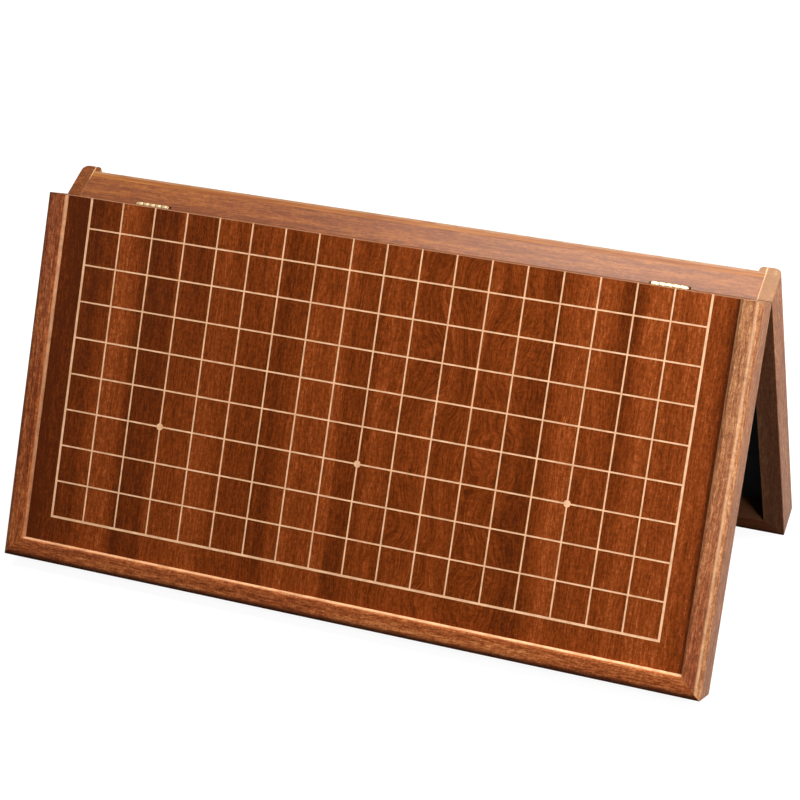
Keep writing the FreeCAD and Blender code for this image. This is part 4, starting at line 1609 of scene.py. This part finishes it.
@dataclass
class Underside:
    """The open well and the drawer bay under the play panel."""

    space: LeafSpace
    leaf: LeafSizes = LEAF
    groove_front: float = 185.7
    groove_low: float = 8.05
    groove_high: float = 12.85
    groove_depth: float = 3.9

    def build(self) -> None:
        """Make the divider, the bay's floor and runners, and line the well."""
        name, body, leaf = self.space.name, self.space.body, self.leaf
        end = self.space.drawer_end
        divider = block(Run.UP, -leaf.half_divider, leaf.hinge_rail, leaf.half_divider,
                        leaf.inner_depth, 0.0, leaf.panel_under)
        put_up(divider, f"{name}_cross_rail", self.space, body,
               RAIL_WOOD.material(self.space, Grain.DEPTH, Seed.CROSS_RAIL),
               [f"{name}_bay_divider"])
        start, stop = at_end(end, leaf.half_divider, leaf.inner_half)
        board = block(Run.UP, start, leaf.hinge_rail, stop, leaf.inner_depth, 0.0, leaf.floor)
        inner = INNER_WOOD.material(self.space, Grain.ALONG, Seed.BAY)
        put_up(board, f"{name}_bay_board", self.space, body, inner,
               [f"{name}_bay_floor"])
        self.build_guide("inner", (leaf.hinge_rail, leaf.slot_margin),
                         (leaf.slot_margin - self.groove_depth, leaf.slot_margin + OVERCUT),
                         inner)
        self.build_guide("outer", (leaf.slot_end, leaf.inner_depth),
                         (leaf.slot_end - OVERCUT, leaf.slot_end + self.groove_depth), inner)
        start, stop = at_end(-end, leaf.half_divider, leaf.inner_half)
        FeltSheet(self.space, f"{name}_well_felt", body, f"{name}_well_lining",
                  (start, leaf.hinge_rail, stop, leaf.inner_depth),
                  leaf.panel_under - leaf.felt, leaf.panel_under,
                  f"{name}_play_board").build()

    def build_guide(self, edge: str, faces: Span, groove: Span, material: Material) -> None:
        """Make a runner with the groove for a drawer's stop peg.

        Args:
            edge: "inner" towards the hinge, or "outer".
            faces: where the runner begins and ends, away from the hinge edge.
            groove: where its groove begins and ends.
            material: its finish.
        """
        name, end, leaf = self.space.name, self.space.drawer_end, self.leaf
        start, stop = at_end(end, leaf.half_divider, leaf.inner_half)
        strip = block(Run.ALONG, faces[0], leaf.floor, faces[1], leaf.panel_under, start, stop)
        low, high = at_end(end, leaf.half_divider - OVERCUT, self.groove_front)
        strip.carve(block(Run.ALONG, groove[0], self.groove_low, groove[1], self.groove_high,
                          low, high))
        put_up(strip, f"{name}_{edge}_guide", self.space, self.space.body, material,
               [f"{name}_{edge}_runner"])


@dataclass
class StoneDrawer:
    """The drawer for the stones in one end of a leaf."""

    space: LeafSpace
    leaf: LeafSizes = LEAF
    side_play: float = 0.4
    under_play: float = 0.3
    top_play: float = 0.4
    back_play: float = 0.3
    front: float = 12.0
    wall: float = 6.0
    bottom: float = 2.0
    notch_width: float = 34.0
    notch_depth: float = 8.0
    notch_round: float = 3.5
    peg_ease: float = 0.2
    front_ease: float = 0.4

    @property
    def near(self) -> float:
        """Give the drawer's side towards the hinge."""
        return self.leaf.slot_margin + self.side_play

    @property
    def far(self) -> float:
        """Give the drawer's side away from the hinge."""
        return self.leaf.slot_end - self.side_play

    @property
    def low(self) -> float:
        """Give the height of the drawer's underside."""
        return self.leaf.floor + self.under_play

    @property
    def high(self) -> float:
        """Give the height of the drawer's rim."""
        return self.leaf.panel_under - self.top_play

    @property
    def back(self) -> float:
        """Give the distance from the leaf's middle to the drawer's back."""
        return self.leaf.half_divider + self.back_play

    @property
    def face(self) -> float:
        """Give the distance from the leaf's middle to the inside of the drawer's front."""
        return self.leaf.half_length - self.front

    def put(self, shape: Wood, piece: str, node: str, material: Material) -> None:
        """Put an inner piece of the drawer in place.

        Args:
            shape: its mesh.
            piece: the last part of its name.
            node: the last part of the name of the solid that it stands for.
            material: its finish.
        """
        name = self.space.name
        put_up(shape, f"{name}_tray_{piece}", self.space, self.space.drawer_body, material,
               [f"{name}_drawer_{node}"])

    def build(self) -> None:
        """Make the front, the walls, the bottom, the felt and the stop pegs."""
        name, end = self.space.name, self.space.drawer_end
        self.build_front()
        wood = INNER_WOOD.material(self.space, Grain.ALONG, Seed.TRAY_WALL)
        near, far = self.near + self.wall, self.far - self.wall
        start, stop = at_end(end, self.back, self.face)
        for edge, walls in (("inner", (self.near, near)), ("outer", (far, self.far))):
            side = block(Run.ALONG, walls[0], self.low, walls[1], self.high, start, stop)
            self.put(side, f"{edge}_wall", f"{edge}_side", wood)
        across = INNER_WOOD.material(self.space, Grain.DEPTH, Seed.TRAY_BOTTOM)
        start, stop = at_end(end, self.back, self.back + self.wall)
        tail = block(Run.DEPTH, start, self.low, stop, self.high, near, far)
        self.put(tail, "back", "back", across)
        start, stop = at_end(end, self.back + self.wall, self.face)
        base_top = self.low + self.bottom
        base = block(Run.UP, start, near, stop, far, self.low, base_top)
        self.put(base, "bottom", "bottom", across)
        FeltSheet(self.space, f"{name}_tray_felt", self.space.drawer_body,
                  f"{name}_drawer_lining", (start, near, stop, far), base_top,
                  base_top + self.leaf.felt, f"{name}_tray_bottom").build()
        eased_copy(f"{name}_drawer_stop_pegs", f"{name}_tray_pegs", self.space.drawer_body,
                   wood, self.peg_ease)

    def build_front(self) -> None:
        """Make the drawer's front with its finger notch."""
        name = self.space.name
        middle = (self.near + self.far) / 2
        near, far = middle - self.notch_width / 2, middle + self.notch_width / 2
        low = self.high - self.notch_depth
        section = [
            Corner(self.near, self.low), Corner(self.far, self.low),
            Corner(self.far, self.high), Corner(far, self.high),
            Corner(far, low, self.notch_round), Corner(near, low, self.notch_round),
            Corner(near, self.high), Corner(self.near, self.high),
        ]
        start, stop = at_end(self.space.drawer_end, self.face, self.leaf.half_length)
        shape = Wood().sweep(Run.ALONG, section, start, stop)
        put_up(shape, f"{name}_tray_front", self.space, self.space.drawer_body,
               RAIL_WOOD.material(self.space, Grain.DEPTH, Seed.TRAY_FRONT),
               [f"{name}_drawer_front"], self.front_ease)


# ---------------------------------------------------------------------------------------------
# Hinges
# ---------------------------------------------------------------------------------------------
@dataclass
class ButtHinges:
    """The two brass butt hinges between the leaves, with their screws."""

    spaces: dict[Side, LeafSpace]
    plate_ease: float = 0.05
    pin_ease: float = 0.3
    screw_ease: float = 0.08

    def build(self) -> None:
        """Make the plates, the pins and the screws."""
        # The left hinge takes the darker brass: painted shade.
        self.build_hinge("left", DIMMED_BRASS)
        bright = self.build_hinge("right", BRASS)
        for side, space in self.spaces.items():
            eased_copy(f"{space.name}_hinge_screws", f"{space.name}_butt_screws", space.body,
                       bright[side], self.screw_ease)

    def build_hinge(self, end: str, brass: Brass) -> dict[Side, Material]:
        """Make one hinge.

        Args:
            end: "left" or "right".
            brass: its finish.

        Returns:
            The finish as it was built for each leaf.
        """
        metals = {side: brass.material(space) for side, space in self.spaces.items()}
        for side, space in self.spaces.items():
            eased_copy(f"{end}_hinge_{space.name}_plate", f"{end}_butt_{space.name}_leaf",
                       space.body, metals[side], self.plate_ease)
        eased_copy(f"{end}_hinge_pin", f"{end}_butt_pin", self.spaces[Side.FRONT].body,
                   metals[Side.FRONT], self.pin_ease)
        return metals


# ---------------------------------------------------------------------------------------------
# The studio
# ---------------------------------------------------------------------------------------------
WHITE = (1.0, 1.0, 1.0)


@dataclass(frozen=True)
class Softbox:
    """A rectangular lamp that looks at the board."""

    name: str
    place: Triple
    width: float
    height: float
    power: float
    tint: Colour = WHITE
    aim: Triple = (0.0, 0.0, 0.12)

    def build(self) -> None:
        """Hang the lamp."""
        data = bpy.data.lights.new(self.name, "AREA")
        data.shape = "RECTANGLE"
        data.size = self.width
        data.size_y = self.height
        data.energy = self.power
        data.color = self.tint
        lamp = add_object(self.name, data)
        lamp.location = self.place
        look = Vector(self.aim) - Vector(self.place)
        lamp.rotation_euler = look.to_track_quat("-Z", "Y").to_euler()
        LOG.info("%s: %g W", self.name, self.power)


@dataclass
class Studio:
    """The pale floor, the lamps, the world and the camera."""

    floor_radius: float = 14.0
    floor_segments: int = 96
    floor_colour: Colour = (0.16, 0.16, 0.16)
    floor_glow: float = 0.92
    world_light: float = 0.10
    camera_place: Triple = (0.48743, -1.19761, 0.79782)
    camera_turn_deg: Triple = (61.1693, 0.087, 20.7529)
    sensor: float = 36.0
    lens: float = 100.05
    shift: Span = (-0.0617, 0.0394)
    clip: Span = (0.05, 60.0)
    lamps: tuple[Softbox, ...] = (
        Softbox("Key softbox", (0.85, 0.10, 1.10), 0.50, 0.50, 20.0, (1.0, 0.985, 0.96)),
        Softbox("Upper softbox", (-0.08, 0.36, 1.40), 0.62, 0.32, 12.0, (1.0, 0.955, 0.87)),
        Softbox("Overhead strip", (-0.28, -0.46, 1.20), 0.90, 0.10, 5.0,
                aim=(-0.28, -0.10, 0.05)),
        Softbox("Right softbox", (0.80, -0.60, 0.50), 0.24, 0.24, 5.5, (1.0, 0.99, 0.97)),
        Softbox("Front strip", (0.20, -1.80, 0.90), 0.28, 0.60, 4.0),
        Softbox("Left fill", (-1.16, -1.57, 0.85), 0.30, 0.30, 1.5),
        Softbox("Back fill", (-0.7, 1.9, 1.2), 1.2, 1.2, 12.0),
    )

    def build(self) -> None:
        """Set up the studio."""
        self.build_floor()
        self.build_world()
        for lamp in self.lamps:
            lamp.build()
        self.build_camera()
        bpy.context.scene.view_settings.view_transform = "Standard"

    def build_floor(self) -> None:
        """Lay the floor."""
        bm = bmesh.new()
        bmesh.ops.create_circle(bm, cap_ends=True, segments=self.floor_segments,
                                radius=self.floor_radius)
        mesh = bpy.data.meshes.new("Studio_floor")
        bm.to_mesh(mesh)
        bm.free()
        floor = add_object("Studio_floor", mesh)
        material = bpy.data.materials.new("Studio floor")
        wiring = fresh_wiring(material)
        matt = wiring.add("ShaderNodeBsdfDiffuse", {"Color": self.floor_colour})
        glow = wiring.add("ShaderNodeEmission", {"Color": WHITE, "Strength": self.floor_glow})
        none = wiring.add("ShaderNodeEmission", {"Strength": 0.0})
        seen = wiring.add("ShaderNodeMixShader", {0: self.seen(wiring), 1: none.outputs[0],
                                                  2: glow.outputs[0]})
        both = wiring.add("ShaderNodeAddShader", {0: matt.outputs[0], 1: seen.outputs[0]})
        wiring.add("ShaderNodeOutputMaterial", {"Surface": both.outputs[0]})
        mesh.materials.append(material)

    @staticmethod
    def seen(wiring: Wiring) -> NodeSocket:
        """Tell whether a ray looks at the background, straight or in a gloss or through glass.

        Args:
            wiring: the wiring of the floor or the world.

        Returns:
            1 where it does.
        """
        path = wiring.add("ShaderNodeLightPath").outputs
        both = wiring.sum("MAXIMUM", path["Is Camera Ray"], path["Is Glossy Ray"])
        return wiring.sum("MAXIMUM", both, path["Is Transmission Ray"])

    def build_world(self) -> None:
        """Give the room its even light, and a white background to what looks at it."""
        world = bpy.data.worlds.new("Studio")
        bpy.context.scene.world = world
        wiring = fresh_wiring(world)
        strength = wiring.spread(self.seen(wiring), 0.0, 1.0, self.world_light, 1.0, "LINEAR")
        back = wiring.add("ShaderNodeBackground", {"Color": WHITE, "Strength": strength})
        wiring.add("ShaderNodeOutputWorld", {"Surface": back.outputs[0]})

    def build_camera(self) -> None:
        """Stand the camera."""
        data = bpy.data.cameras.new("Camera")
        data.sensor_width = self.sensor
        data.lens = self.lens
        data.shift_x, data.shift_y = self.shift
        data.clip_start, data.clip_end = self.clip
        camera = add_object("Camera", data)
        camera.location = self.camera_place
        camera.rotation_euler = Euler([math.radians(a) for a in self.camera_turn_deg], "XYZ")
        bpy.context.scene.camera = camera


# ---------------------------------------------------------------------------------------------
# Everything in order
# ---------------------------------------------------------------------------------------------
def corners(box: Iterable[Vector]) -> list[list[float]]:
    """Turn a box's two corners into plain lists."""
    return [list(corner) for corner in box]


def main() -> None:
    """Build the board and its studio."""
    logging.basicConfig(level=logging.INFO, format="%(name)s %(message)s")
    spaces = {side: LeafSpace(side) for side in Side}
    for space in spaces.values():
        PlayField(space).build()
        Rim(space).build()
        Underside(space).build()
        StoneDrawer(space).build()
    ButtHinges(spaces).build()
    Studio().build()


if __name__ == "__main__":
    main()
